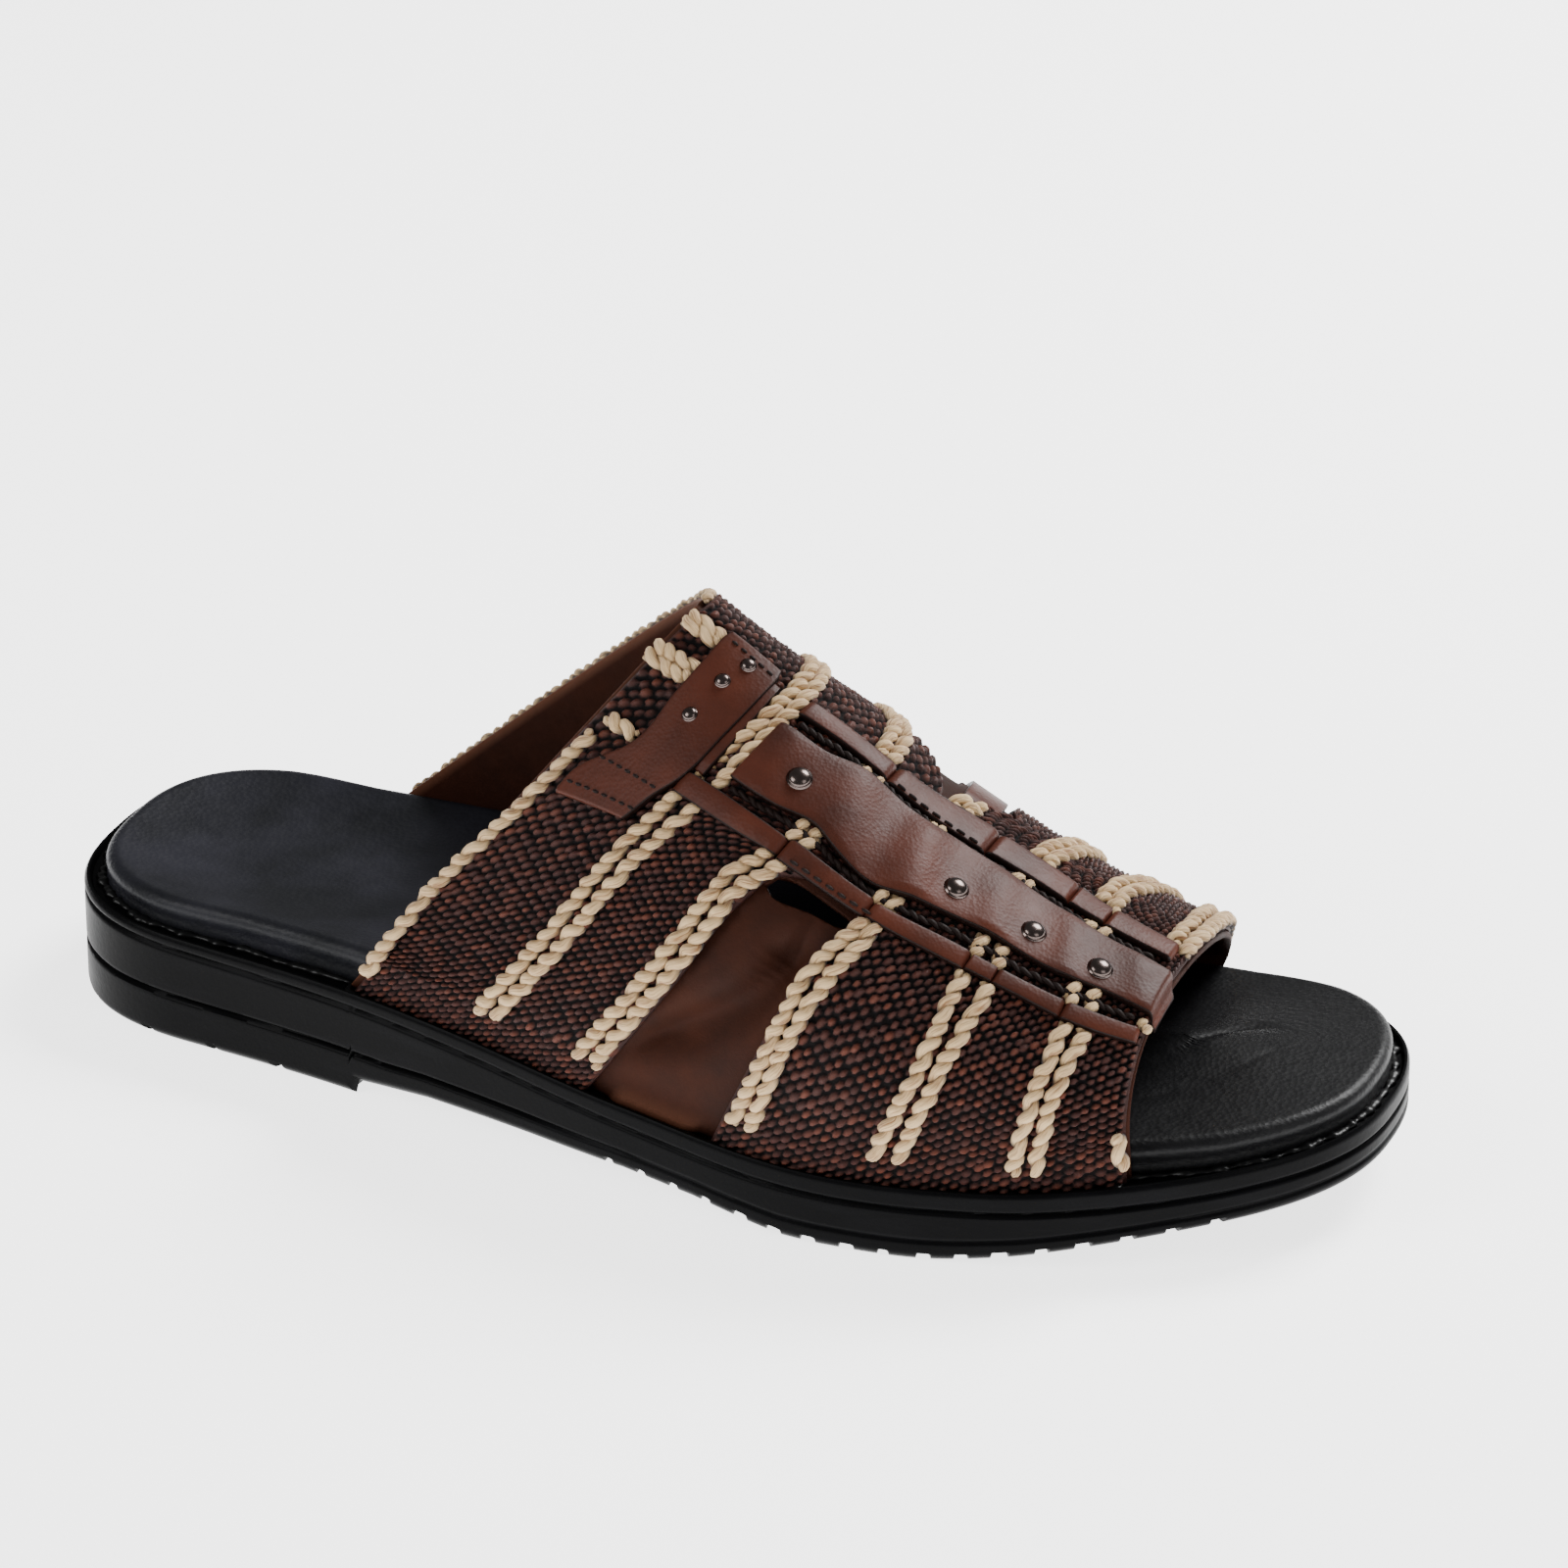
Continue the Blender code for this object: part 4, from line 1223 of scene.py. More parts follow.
@dataclass
class Upper:
    """Lining, woven bands, braids, straps and metal."""

    palette: Palette
    hem: float = 0.012
    rear_front: Table = (
        (-1.0, 0.348), (-0.75, 0.362), (-0.5, 0.370), (-0.42, 0.386), (-0.35, 0.450), (-0.28, 0.488),
        (-0.1, 0.494), (0.04, 0.490), (0.12, 0.460), (0.26, 0.390), (0.6, 0.370), (1.0, 0.385),
    )
    front_rear: Table = (
        (-1.0, 0.520), (-0.75, 0.508), (-0.55, 0.500), (-0.38, 0.516), (-0.3, 0.514), (-0.1, 0.512),
        (0.04, 0.512), (0.09, 0.550), (0.14, 0.600), (0.25, 0.602), (1.0, 0.600),
    )
    centre_edges: Table = (
        (0.240, -0.325, -0.140), (0.320, -0.306, -0.130), (0.385, -0.280, -0.090),
        (0.430, -0.292, -0.080), (0.510, -0.297, -0.076), (0.570, -0.267, -0.062),
        (0.685, -0.245, -0.064), (0.820, -0.275, -0.086), (0.930, -0.305, -0.118),
        (0.998, -0.370, -0.140),
    )
    lateral_rail: Table = (
        (0.182, -0.402, -0.350), (0.300, -0.402, -0.345), (0.390, -0.388, -0.338),
        (0.530, -0.376, -0.328), (0.660, -0.370, -0.312), (0.800, -0.396, -0.338),
        (0.900, -0.445, -0.372), (0.985, -0.485, -0.412),
    )
    medial_rail: Table = (
        (0.245, -0.105, -0.045), (0.375, -0.070, -0.020), (0.535, -0.052, 0.000), (0.700, -0.040, 0.012),
        (0.820, -0.055, 0.000), (0.975, -0.085, -0.015),
    )
    cross_edges: Table = (
        (-0.485, 0.050, 0.165), (-0.440, 0.055, 0.168), (-0.370, 0.090, 0.186), (-0.250, 0.086, 0.190),
        (-0.040, 0.070, 0.184),
    )
    under_edges: Table = (
        (-0.345, 0.183, 0.207), (-0.25, 0.186, 0.206), (-0.15, 0.184, 0.202), (-0.075, 0.180, 0.198),
    )
    side_edges: Table = ((0.085, 0.518, 0.586), (0.30, 0.522, 0.590), (0.985, 0.522, 0.590))
    lateral_window: Table = (
        (0.378, -0.452), (0.400, -0.466), (0.430, -0.456), (0.465, -0.438), (0.498, -0.430),
        (0.516, -0.412), (0.510, -0.392), (0.465, -0.392), (0.420, -0.398), (0.388, -0.415),
    )
    medial_window: Table = (
        (0.392, 0.24), (0.412, 0.17), (0.490, 0.17), (0.508, 0.22), (0.510, 0.40), (0.508, 0.57),
        (0.490, 0.62), (0.415, 0.62), (0.390, 0.55), (0.386, 0.40),
    )
    rivets: Table = ((0.323, -0.226), (0.613, -0.180), (0.757, -0.184), (0.885, -0.222))
    studs: Table = ((0.135, -0.098), (0.126, -0.170), (0.128, -0.267))
    # Cream cords over the foot, t then s, from the lateral foot over the instep to the medial foot
    rear_cords: tuple[Table, ...] = (
        (
            (-0.95, 0.009), (-0.77, 0.011), (-0.662, 0.011), (-0.593, 0.018), (-0.525, 0.025),
            (-0.377, 0.032),
        ),
        (
            (-0.932, 0.167), (-0.718, 0.179), (-0.547, 0.180), (-0.39, 0.195), (-0.25, 0.208),
            (-0.115, 0.213), (0.1, 0.206), (0.3, 0.195), (0.955, 0.190),
        ),
        (
            (-0.93, 0.191), (-0.722, 0.205), (-0.55, 0.208), (-0.385, 0.229), (-0.25, 0.233),
            (-0.12, 0.236), (0.1, 0.229), (0.3, 0.217), (0.955, 0.213),
        ),
        (
            (-0.932, 0.313), (-0.752, 0.327), (-0.603, 0.331), (-0.475, 0.333), (-0.382, 0.360),
            (-0.2, 0.376), (-0.007, 0.378), (0.1, 0.370), (0.3, 0.340), (0.6, 0.334), (0.955, 0.345),
        ),
        (
            (-0.935, 0.337), (-0.772, 0.350), (-0.615, 0.356), (-0.492, 0.357), (-0.392, 0.383),
            (-0.2, 0.400), (-0.007, 0.402), (0.1, 0.393), (0.3, 0.363), (0.6, 0.357), (0.955, 0.368),
        ),
    )
    collar_cord: Table = ((0.02, 0.005), (0.3, 0.0045), (0.6, 0.0045), (0.955, 0.006))
    front_cords: tuple[Table, ...] = (
        (
            (-0.94, 0.533), (-0.748, 0.521), (-0.56, 0.512), (-0.385, 0.530), (-0.2, 0.524),
            (0.02, 0.522), (0.06, 0.534),
        ),
        (
            (-0.94, 0.555), (-0.732, 0.540), (-0.53, 0.541), (-0.377, 0.552), (-0.2, 0.546),
            (0.02, 0.546), (0.07, 0.562),
        ),
        (
            (-0.945, 0.707), (-0.65, 0.714), (-0.445, 0.704), (-0.2, 0.690), (0.035, 0.677), (0.2, 0.702),
            (0.5, 0.745), (0.955, 0.760),
        ),
        (
            (-0.945, 0.737), (-0.635, 0.744), (-0.39, 0.744), (-0.2, 0.722), (0.035, 0.701), (0.2, 0.727),
            (0.5, 0.770), (0.955, 0.785),
        ),
        (
            (-0.958, 0.871), (-0.675, 0.875), (-0.432, 0.877), (-0.2, 0.850), (0.07, 0.810), (0.3, 0.840),
            (0.6, 0.886), (0.955, 0.893),
        ),
        (
            (-0.960, 0.895), (-0.667, 0.900), (-0.432, 0.908), (-0.2, 0.880), (0.07, 0.835), (0.3, 0.866),
            (0.6, 0.910), (0.955, 0.918),
        ),
        ((-0.06, 0.956), (0.145, 0.958), (0.955, 0.960)),
        ((-0.03, 0.984), (0.145, 0.986), (0.955, 0.986)),
        ((-0.965, 0.988), (-0.91, 0.986), (-0.86, 0.985)),
        ((-0.42, 0.988), (-0.395, 0.990), (-0.37, 0.990)),
    )
    # Short cream cords on the instep behind the cross strap, s then t
    instep_cords: tuple[Table, ...] = (
        ((0.004, -0.224), (0.04, -0.219), (0.085, -0.212)),
        ((0.004, -0.196), (0.04, -0.191), (0.085, -0.184)),
        ((0.030, -0.346), (0.06, -0.350), (0.086, -0.354)),
        ((0.006, -0.104), (0.04, -0.101), (0.078, -0.098)),
        ((0.006, -0.077), (0.04, -0.075), (0.078, -0.073)),
    )
    # Dark ropes of yarn in the gaps between the centre strap and the rails, s then t
    gap_ropes: tuple[Table, ...] = (
        (
            (0.250, -0.335), (0.390, -0.309), (0.530, -0.311), (0.660, -0.281), (0.800, -0.306),
            (0.900, -0.335), (0.970, -0.372),
        ),
        (
            (0.260, -0.118), (0.375, -0.081), (0.535, -0.063), (0.700, -0.052), (0.820, -0.070),
            (0.950, -0.100),
        ),
    )
    lateral_pieces: Table = (
        (0.0, 0.235, 1.0), (0.235, 0.43, 1.3), (0.43, 0.64, 1.08), (0.64, 0.70, 0.95), (0.70, 0.85, 1.0),
        (0.85, 1.0, 1.0),
    )
    medial_pieces: Table = (
        (0.0, 0.235, 1.0), (0.235, 0.50, 1.15), (0.50, 0.72, 1.0), (0.72, 0.82, 0.95), (0.82, 1.0, 1.05),
    )
    # Soft waves of the centre strap: s, width and height in metres
    strap_waves: Table = (
        (0.275, 0.030, 0.0005), (0.400, 0.048, 0.0008), (0.470, 0.038, -0.0004), (0.540, 0.042, 0.0011),
        (0.685, 0.040, 0.0008), (0.820, 0.030, 0.0006), (0.940, 0.030, 0.0005),
    )
    strap_wave_slant: float = 0.22
    strap_middle: float = -0.18
    strap_border: float = 0.006
    rivet_reach: float = 0.0045
    rivet_seat: float = 0.0001
    # The centre strap runs on to this s and turns down over the toe opening's edge between two places
    strap_end: float = 1.006
    turn_span: tuple[float, float] = (0.982, 1.008)
    turn_drop: float = 0.0052
    turn_power: float = 1.5
    # Rivets and studs: name, radius and height; their rim and thin collar are shares of those
    head_sizes: tuple[tuple[str, float, float], ...] = (("rivet", 0.0024, 0.0017), ("stud", 0.0015, 0.0011))
    head_rim: float = 0.18
    head_collar: tuple[float, float] = (1.12, 0.12)
    head_sunk: float = 0.0001
    # Rows of stitches, s then t
    strap_stitches: tuple[Table, ...] = (
        ((0.058, -0.462), (0.110, -0.462), (0.160, -0.462)),
        ((0.070, -0.408), (0.120, -0.410), (0.172, -0.412)),
        ((0.085, -0.072), (0.13, -0.073), (0.178, -0.074)),
    )
    rail_stitches: tuple[Table, ...] = (
        ((0.390, -0.380), (0.46, -0.372), (0.53, -0.366)),
        ((0.43, -0.056), (0.52, -0.047), (0.60, -0.040)),
    )
    rail_stitch_lift: float = 0.0002
    # The fold of the bare lining panel, s and t along its line
    fold_line: Table = ((0.355, -0.92), (0.395, -0.83), (0.430, -0.75), (0.452, -0.67), (0.462, -0.58))
    fold_depth: float = 0.0042
    fold_width: float = 0.0052
    fold_steps: int = 40
    fold_sides: tuple[float, float] = (0.6, 1.3)
    fold_ridge: float = 0.0007
    fold_ridge_place: float = 1.7
    panel_size: tuple[float, float] = (0.155, 0.085)
    panel_start: tuple[float, float] = (0.345, 0.375)
    panel_end: tuple[float, float] = (0.475, 0.51)
    panel_top: float = -0.4
    panel_foot: tuple[float, float] = (0.84, 0.93)
    dent_depth: float = 0.0018
    dent_place: tuple[float, float] = (0.475, -0.56)
    dent_size: tuple[float, float] = (0.03, 0.06)
    # The bare panel's foot turns out over the rim
    hem_start: tuple[float, float] = (0.37, 0.39)
    hem_end: tuple[float, float] = (0.485, 0.505)
    hem_foot: tuple[float, float] = (0.955, 0.995)
    hem_lift: float = 0.0016
    hem_paleness: float = 0.7
    collar_edge: float = 0.006
    lining_rows: int = 300
    window_reach: float = 0.010
    window_steps: int = 4

    def rear_band_edges(self) -> tuple[Callable[[Array], Array], Callable[[Array], Array]]:
        """s at the rear band's two edges."""
        return lambda t: np.full(t.shape, self.hem), lambda t: smooth_curve(self.rear_front, 1, t)

    def front_band_edges(self) -> tuple[Callable[[Array], Array], Callable[[Array], Array]]:
        """s at the front band's two edges."""
        end = 1.0 - self.hem / 2.0
        return lambda t: smooth_curve(self.front_rear, 1, t), lambda t: np.full(t.shape, end)

    def build_bands(self) -> None:
        """The two woven bands."""
        rear = self.rear_band_edges()
        WovenBand("rear_band", *rear, middle=0.2, threads=34, rows=620, columns=130).build(self.palette.weave)
        front = self.front_band_edges()
        band = WovenBand("front_band", *front, middle=0.75, threads=43, rows=520, columns=165)
        band.build(self.palette.weave)

    def covered(self, s: Array, t: Array) -> Array:
        """Tells where straps and rails lie on the bands.

        Args:
            s: Shares from the collar to the toe opening.
            t: Shares over the foot.

        Returns:
            1 under a strap and 0 elsewhere, with soft borders.
        """
        soft = self.strap_border
        inside = np.zeros(s.shape)
        for edges, run, other in (
            (self.centre_edges, s, t),
            (self.lateral_rail, s, t),
            (self.medial_rail, s, t),
            (self.cross_edges, t, s),
            (self.under_edges, t, s),
        ):
            low = smooth_curve(edges, 1, run)
            high = smooth_curve(edges, 2, run)
            across = step_up(low - soft, low + soft, other) * (1.0 - step_up(high - soft, high + soft, other))
            along = step_up(edges[0][0] - soft, edges[0][0] + soft, run)
            along = along * (1.0 - step_up(edges[-1][0] - soft, edges[-1][0] + soft, run))
            inside = np.maximum(inside, across * along)
        return inside

    def build_cords(self) -> None:
        """The cream cords of both bands, which go on under the straps."""
        for name, routes in (("rear_band", self.rear_cords), ("front_band", self.front_cords)):
            plies = []
            for number, route in enumerate(routes):
                plies += TwistedCord(route, phase=1.3 * number, pressed=self.covered).plies()
            if name == "rear_band":
                plies += self.collar_braid().plies()
            add_piece(joined(f"{name}_braids", plies), self.palette.cord)
        plies = []
        for number, route in enumerate(self.instep_cords):
            plies += TwistedCord(route, along=True, phase=0.9 * number, pressed=self.covered).plies()
        add_piece(joined("instep_braids", plies), self.palette.cord)
        plies = []
        for number, route in enumerate(self.gap_ropes):
            plies += self.gap_rope(route, number).plies()
        add_piece(joined("strap_gap_ropes", plies), self.palette.thread)

    def collar_braid(self) -> TwistedCord:
        """The thin cream cord along the medial collar."""
        sizes = {"height": 0.0024, "ply": 0.0007, "twist": 0.0005, "pitch": 0.0058}
        # The painted shade on this cord is lifted, so its shaded side still reads pale cream
        return TwistedCord(self.collar_cord, shade_lift=0.7, **sizes)

    def gap_rope(self, route: Table, number: int) -> TwistedCord:
        """A dark rope of yarn in a gap beside the centre strap."""
        sizes = {"height": 0.0038, "ply": 0.0005, "twist": 0.00036, "pitch": 0.0046}
        return TwistedCord(route, along=True, phase=0.7 * number, **sizes)

    def strap_relief(self, s: Array, t: Array) -> Array:
        """Shapes the centre strap's waves, which lie flat round each rivet.

        Args:
            s: Shares from the collar to the toe opening.
            t: Shares over the foot.

        Returns:
            How far the strap stands up.
        """
        slanted = s + self.strap_wave_slant * (t - self.strap_middle)
        lift = np.zeros(s.shape)
        for middle, width, height in self.strap_waves:
            lift = lift + height * np.exp(-(((slanted - middle) / width) ** 2))
        points = FORM.skeleton(s, t)
        for place in self.rivets:
            away = np.linalg.norm(points - FORM.skeleton(place[0], place[1]), axis=-1)
            near = np.exp(-((away / self.rivet_reach) ** 2))
            lift = lift * (1.0 - near) + near * self.rivet_seat
        return lift

    def strap_fold(self, s: Array, t: Array) -> Array:
        """How far the centre strap's front end turns down over the toe opening's edge."""
        return self.turn_drop * step_up(*self.turn_span, s) ** self.turn_power

    def build_straps(self) -> None:
        """The leather straps."""
        level = FORM.strap_level
        edges = (*self.centre_edges[:-1], (self.strap_end, *self.centre_edges[-1][1:]))
        centre = LeatherStrip(
            "centre_strap_leather", edges, level, FORM.strap, columns=26, rows=260,
            relief=self.strap_relief, drop=self.strap_fold,
        )
        add_piece(centre.mesh(), self.palette.strap, ["centre_strap"])
        cross = LeatherStrip(
            "cross_strap_leather", self.cross_edges, level, FORM.strap, columns=24, rows=140, over=True
        )
        under = LeatherStrip(
            "under", self.under_edges, level, 0.0010, columns=8, rows=90,
            over=True, edge_share=0.08, end_dive=0.0005,
        )
        both = joined("cross_strap_leather", [cross.mesh(), under.mesh()])
        add_piece(both, self.palette.strap, ["cross_strap"])
        side = LeatherStrip(
            "side_strap_leather", self.side_edges, FORM.lining + FORM.fit, FORM.side_strap,
            columns=16, rows=120, over=True, end_dive=0.0009, dive_share=0.05,
        )
        add_piece(side.mesh(), self.palette.strap, ["side_strap"])
        self.build_rails()

    def build_rails(self) -> None:
        """The two rails of short overlapping leather pieces beside the centre strap."""
        for name, rail, pieces in (
            ("rail_lateral", self.lateral_rail, self.lateral_pieces),
            ("rail_medial", self.medial_rail, self.medial_pieces),
        ):
            parts = []
            for start, end, widen in pieces:
                strip = LeatherStrip(
                    name, rail, FORM.strap_level, FORM.rail, columns=10, rows=60, span=(start, end),
                    edge_share=0.06, end_dive=0.0009, dive_share=0.08, widen=0.9 * widen, crown=0.0002,
                )
                parts.append(strip.mesh())
            add_piece(joined(f"{name}_leather", parts), self.palette.strap, [name])

    def lining_sag(self, s: Array, t: Array) -> Array:
        """Shapes the fold of the lining's bare lateral panel, the ridge behind it and a dent at its top.

        Args:
            s: Shares from the collar to the toe opening.
            t: Shares over the foot.

        Returns:
            How far the lining sinks.
        """
        fine = np.linspace(self.fold_line[0][0], self.fold_line[-1][0], self.fold_steps)
        line_t = smooth_curve(self.fold_line, 1, fine)
        wide, tall = self.panel_size
        off_s = (s[:, None] - fine[None, :]) * wide
        off_t = (t[:, None] - line_t[None, :]) * tall
        squares = off_s**2 + off_t**2
        nearest = squares.argmin(axis=1)
        away = np.sqrt(squares[np.arange(len(s)), nearest])
        behind = off_s[np.arange(len(s)), nearest] < 0.0
        reach = np.where(behind, *self.fold_sides) * self.fold_width
        sag = self.fold_depth * np.exp(-((away / reach) ** 2))
        beyond = (away - self.fold_ridge_place * self.fold_width) / self.fold_width
        ridge = self.fold_ridge * np.exp(-(beyond**2)) * behind
        dent_s = (s - self.dent_place[0]) / self.dent_size[0]
        dent_t = (t - self.dent_place[1]) / self.dent_size[1]
        dent = self.dent_depth * np.exp(-(dent_s**2) - dent_t**2)
        bare = step_up(*self.panel_start, s) * (1.0 - step_up(*self.panel_end, s)) * (t < self.panel_top)
        bare = bare * (1.0 - step_up(*self.panel_foot, -t))
        return (sag - ridge + dent) * bare

    def build_lining(self) -> None:
        """The leather lining with its two windows."""
        share_of, lift_of, _ = Section(columns=110, edge_share=0.004, underside=60, rounding=3).arrays()
        around = len(share_of) - 1

        def place(u: Array, v: Array) -> tuple[Array, dict[str, Array]]:
            """Moves the grid round the lining's cross-section.

            Args:
                u: Share along.
                v: Share around.

            Returns:
                The points and their attributes.
            """
            index = np.rint(v * around).astype(int)
            s = share_of[index]
            t = -1.0 + 2.0 * u
            bare = step_up(*self.hem_start, s) * (1.0 - step_up(*self.hem_end, s))
            bare = bare * step_up(*self.hem_foot, -t)
            height = FORM.lining * lift_of[index] - self.lining_sag(s, t) + self.hem_lift * bare
            rim = 1.0 - np.clip(s / self.collar_edge, 0.0, 1.0)
            return FORM.point(s, t, height), {"edge": np.clip(rim + self.hem_paleness * bare, 0.0, 1.0)}

        data = shaped_grid("lining_leather", self.lining_rows, around, place)
        lining = add_piece(data, self.palette.lining, ["upper_lining"])
        for corners in (self.lateral_window, self.medial_window):
            self.cut_window(lining, corners)

    def cut_window(self, lining: bpy.types.Object, corners: Table) -> None:
        """Cuts a window through the lining with a prism, and removes the prism.

        Args:
            lining: The lining's object.
            corners: The window's outline, s then t.
        """
        reach = self.window_reach
        outline = np.asarray(corners)
        closed = np.vstack([outline, outline[:1]])
        table = np.column_stack([np.arange(len(closed)), closed])
        fine = np.linspace(0.0, len(outline), self.window_steps * len(outline) + 1)[:-1]
        s = smooth_curve(table, 1, fine)
        t = smooth_curve(table, 2, fine)
        mesh = bmesh.new()
        low = [mesh.verts.new(Vector(point)) for point in FORM.point(s, t, -reach / 2.0)]
        face = mesh.faces.new(low)
        grown = bmesh.ops.extrude_face_region(mesh, geom=[face])
        top = [item for item in grown["geom"] if isinstance(item, bmesh.types.BMVert)]
        high = FORM.point(s, t, FORM.lining + reach)
        shift = {tuple(np.round(vert.co, 7)): Vector(point) for vert, point in zip(low, high)}
        for vert in top:
            vert.co = shift[tuple(np.round(vert.co, 7))]
        bmesh.ops.recalc_face_normals(mesh, faces=mesh.faces)
        data = bpy.data.meshes.new("window")
        mesh.to_mesh(data)
        mesh.free()
        cutter = bpy.data.objects.new("window", data)
        bpy.context.scene.collection.objects.link(cutter)
        cut = lining.modifiers.new("window", "BOOLEAN")
        cut.operation = "DIFFERENCE"
        cut.object = cutter
        graph = bpy.context.evaluated_depsgraph_get()
        done = bpy.data.meshes.new_from_object(lining.evaluated_get(graph))
        lining.modifiers.clear()
        old = lining.data
        lining.data = done
        bpy.data.meshes.remove(old)
        done.name = lining.name
        bpy.data.objects.remove(cutter)
        bpy.data.meshes.remove(data)

    def head_mesh(self, radius: float, height: float) -> bmesh.types.BMesh:
        """Turns a domed head with a thin collar.

        Args:
            radius: The dome's radius.
            height: The dome's height.

        Returns:
            The head, upright at the origin.
        """
        mesh = bmesh.new()
        rim = self.head_rim
        wide, low = self.head_collar
        arc = [math.radians(angle) for angle in range(90, -1, -10)]
        dome = 1.0 - rim
        profile = [(radius * math.cos(angle), height * (rim + dome * math.sin(angle))) for angle in arc]
        profile += [(radius * wide, height * low), (radius * wide, -self.head_sunk), (0.0, -self.head_sunk)]
        points = [mesh.verts.new((x if x > MERGE else 0.0, 0.0, z)) for x, z in profile]
        for first, second in zip(points, points[1:]):
            mesh.edges.new((first, second))
        bmesh.ops.spin(
            mesh, geom=list(mesh.verts) + list(mesh.edges), cent=(0.0, 0.0, 0.0), axis=(0.0, 0.0, 1.0),
            angle=2.0 * math.pi, steps=32, use_merge=True,
        )
        bmesh.ops.remove_doubles(mesh, verts=mesh.verts, dist=MERGE)
        bmesh.ops.recalc_face_normals(mesh, faces=mesh.faces)
        return mesh

    def build_heads(self) -> None:
        """The rivets of the centre strap and the studs of the cross strap."""
        seat = FORM.strap_level + FORM.strap
        for (kind, radius, height), places in zip(self.head_sizes, (self.rivets, self.studs)):
            for number, (s, t) in enumerate(places, start=1):
                mesh = self.head_mesh(radius, height)
                turn = Vector(FORM.normal(s, t)).to_track_quat("Z", "Y").to_matrix().to_4x4()
                mesh.transform(Matrix.Translation(Vector(FORM.point(s, t, seat))) @ turn)
                data = bpy.data.meshes.new(f"{kind}_head_{number}")
                mesh.to_mesh(data)
                mesh.free()
                data.shade_smooth()
                add_piece(data, self.palette.metal, [f"{kind}_{number}"])

    def build_stitching(self) -> None:
        """Stitches of the straps."""
        top = FORM.strap_level + FORM.strap
        rail = FORM.strap_level + FORM.rail + self.rail_stitch_lift
        rows = [Stitches(route, top) for route in self.strap_stitches]
        rows += [Stitches(route, rail, pitch=0.0030, length=0.0024) for route in self.rail_stitches]
        add_piece(joined("strap_stitches", [row.build() for row in rows]), self.palette.thread)

    def build(self) -> None:
        """Builds the upper from the inside out."""
        self.build_lining()
        self.build_bands()
        self.build_cords()
        self.build_straps()
        self.build_stitching()
        self.build_heads()


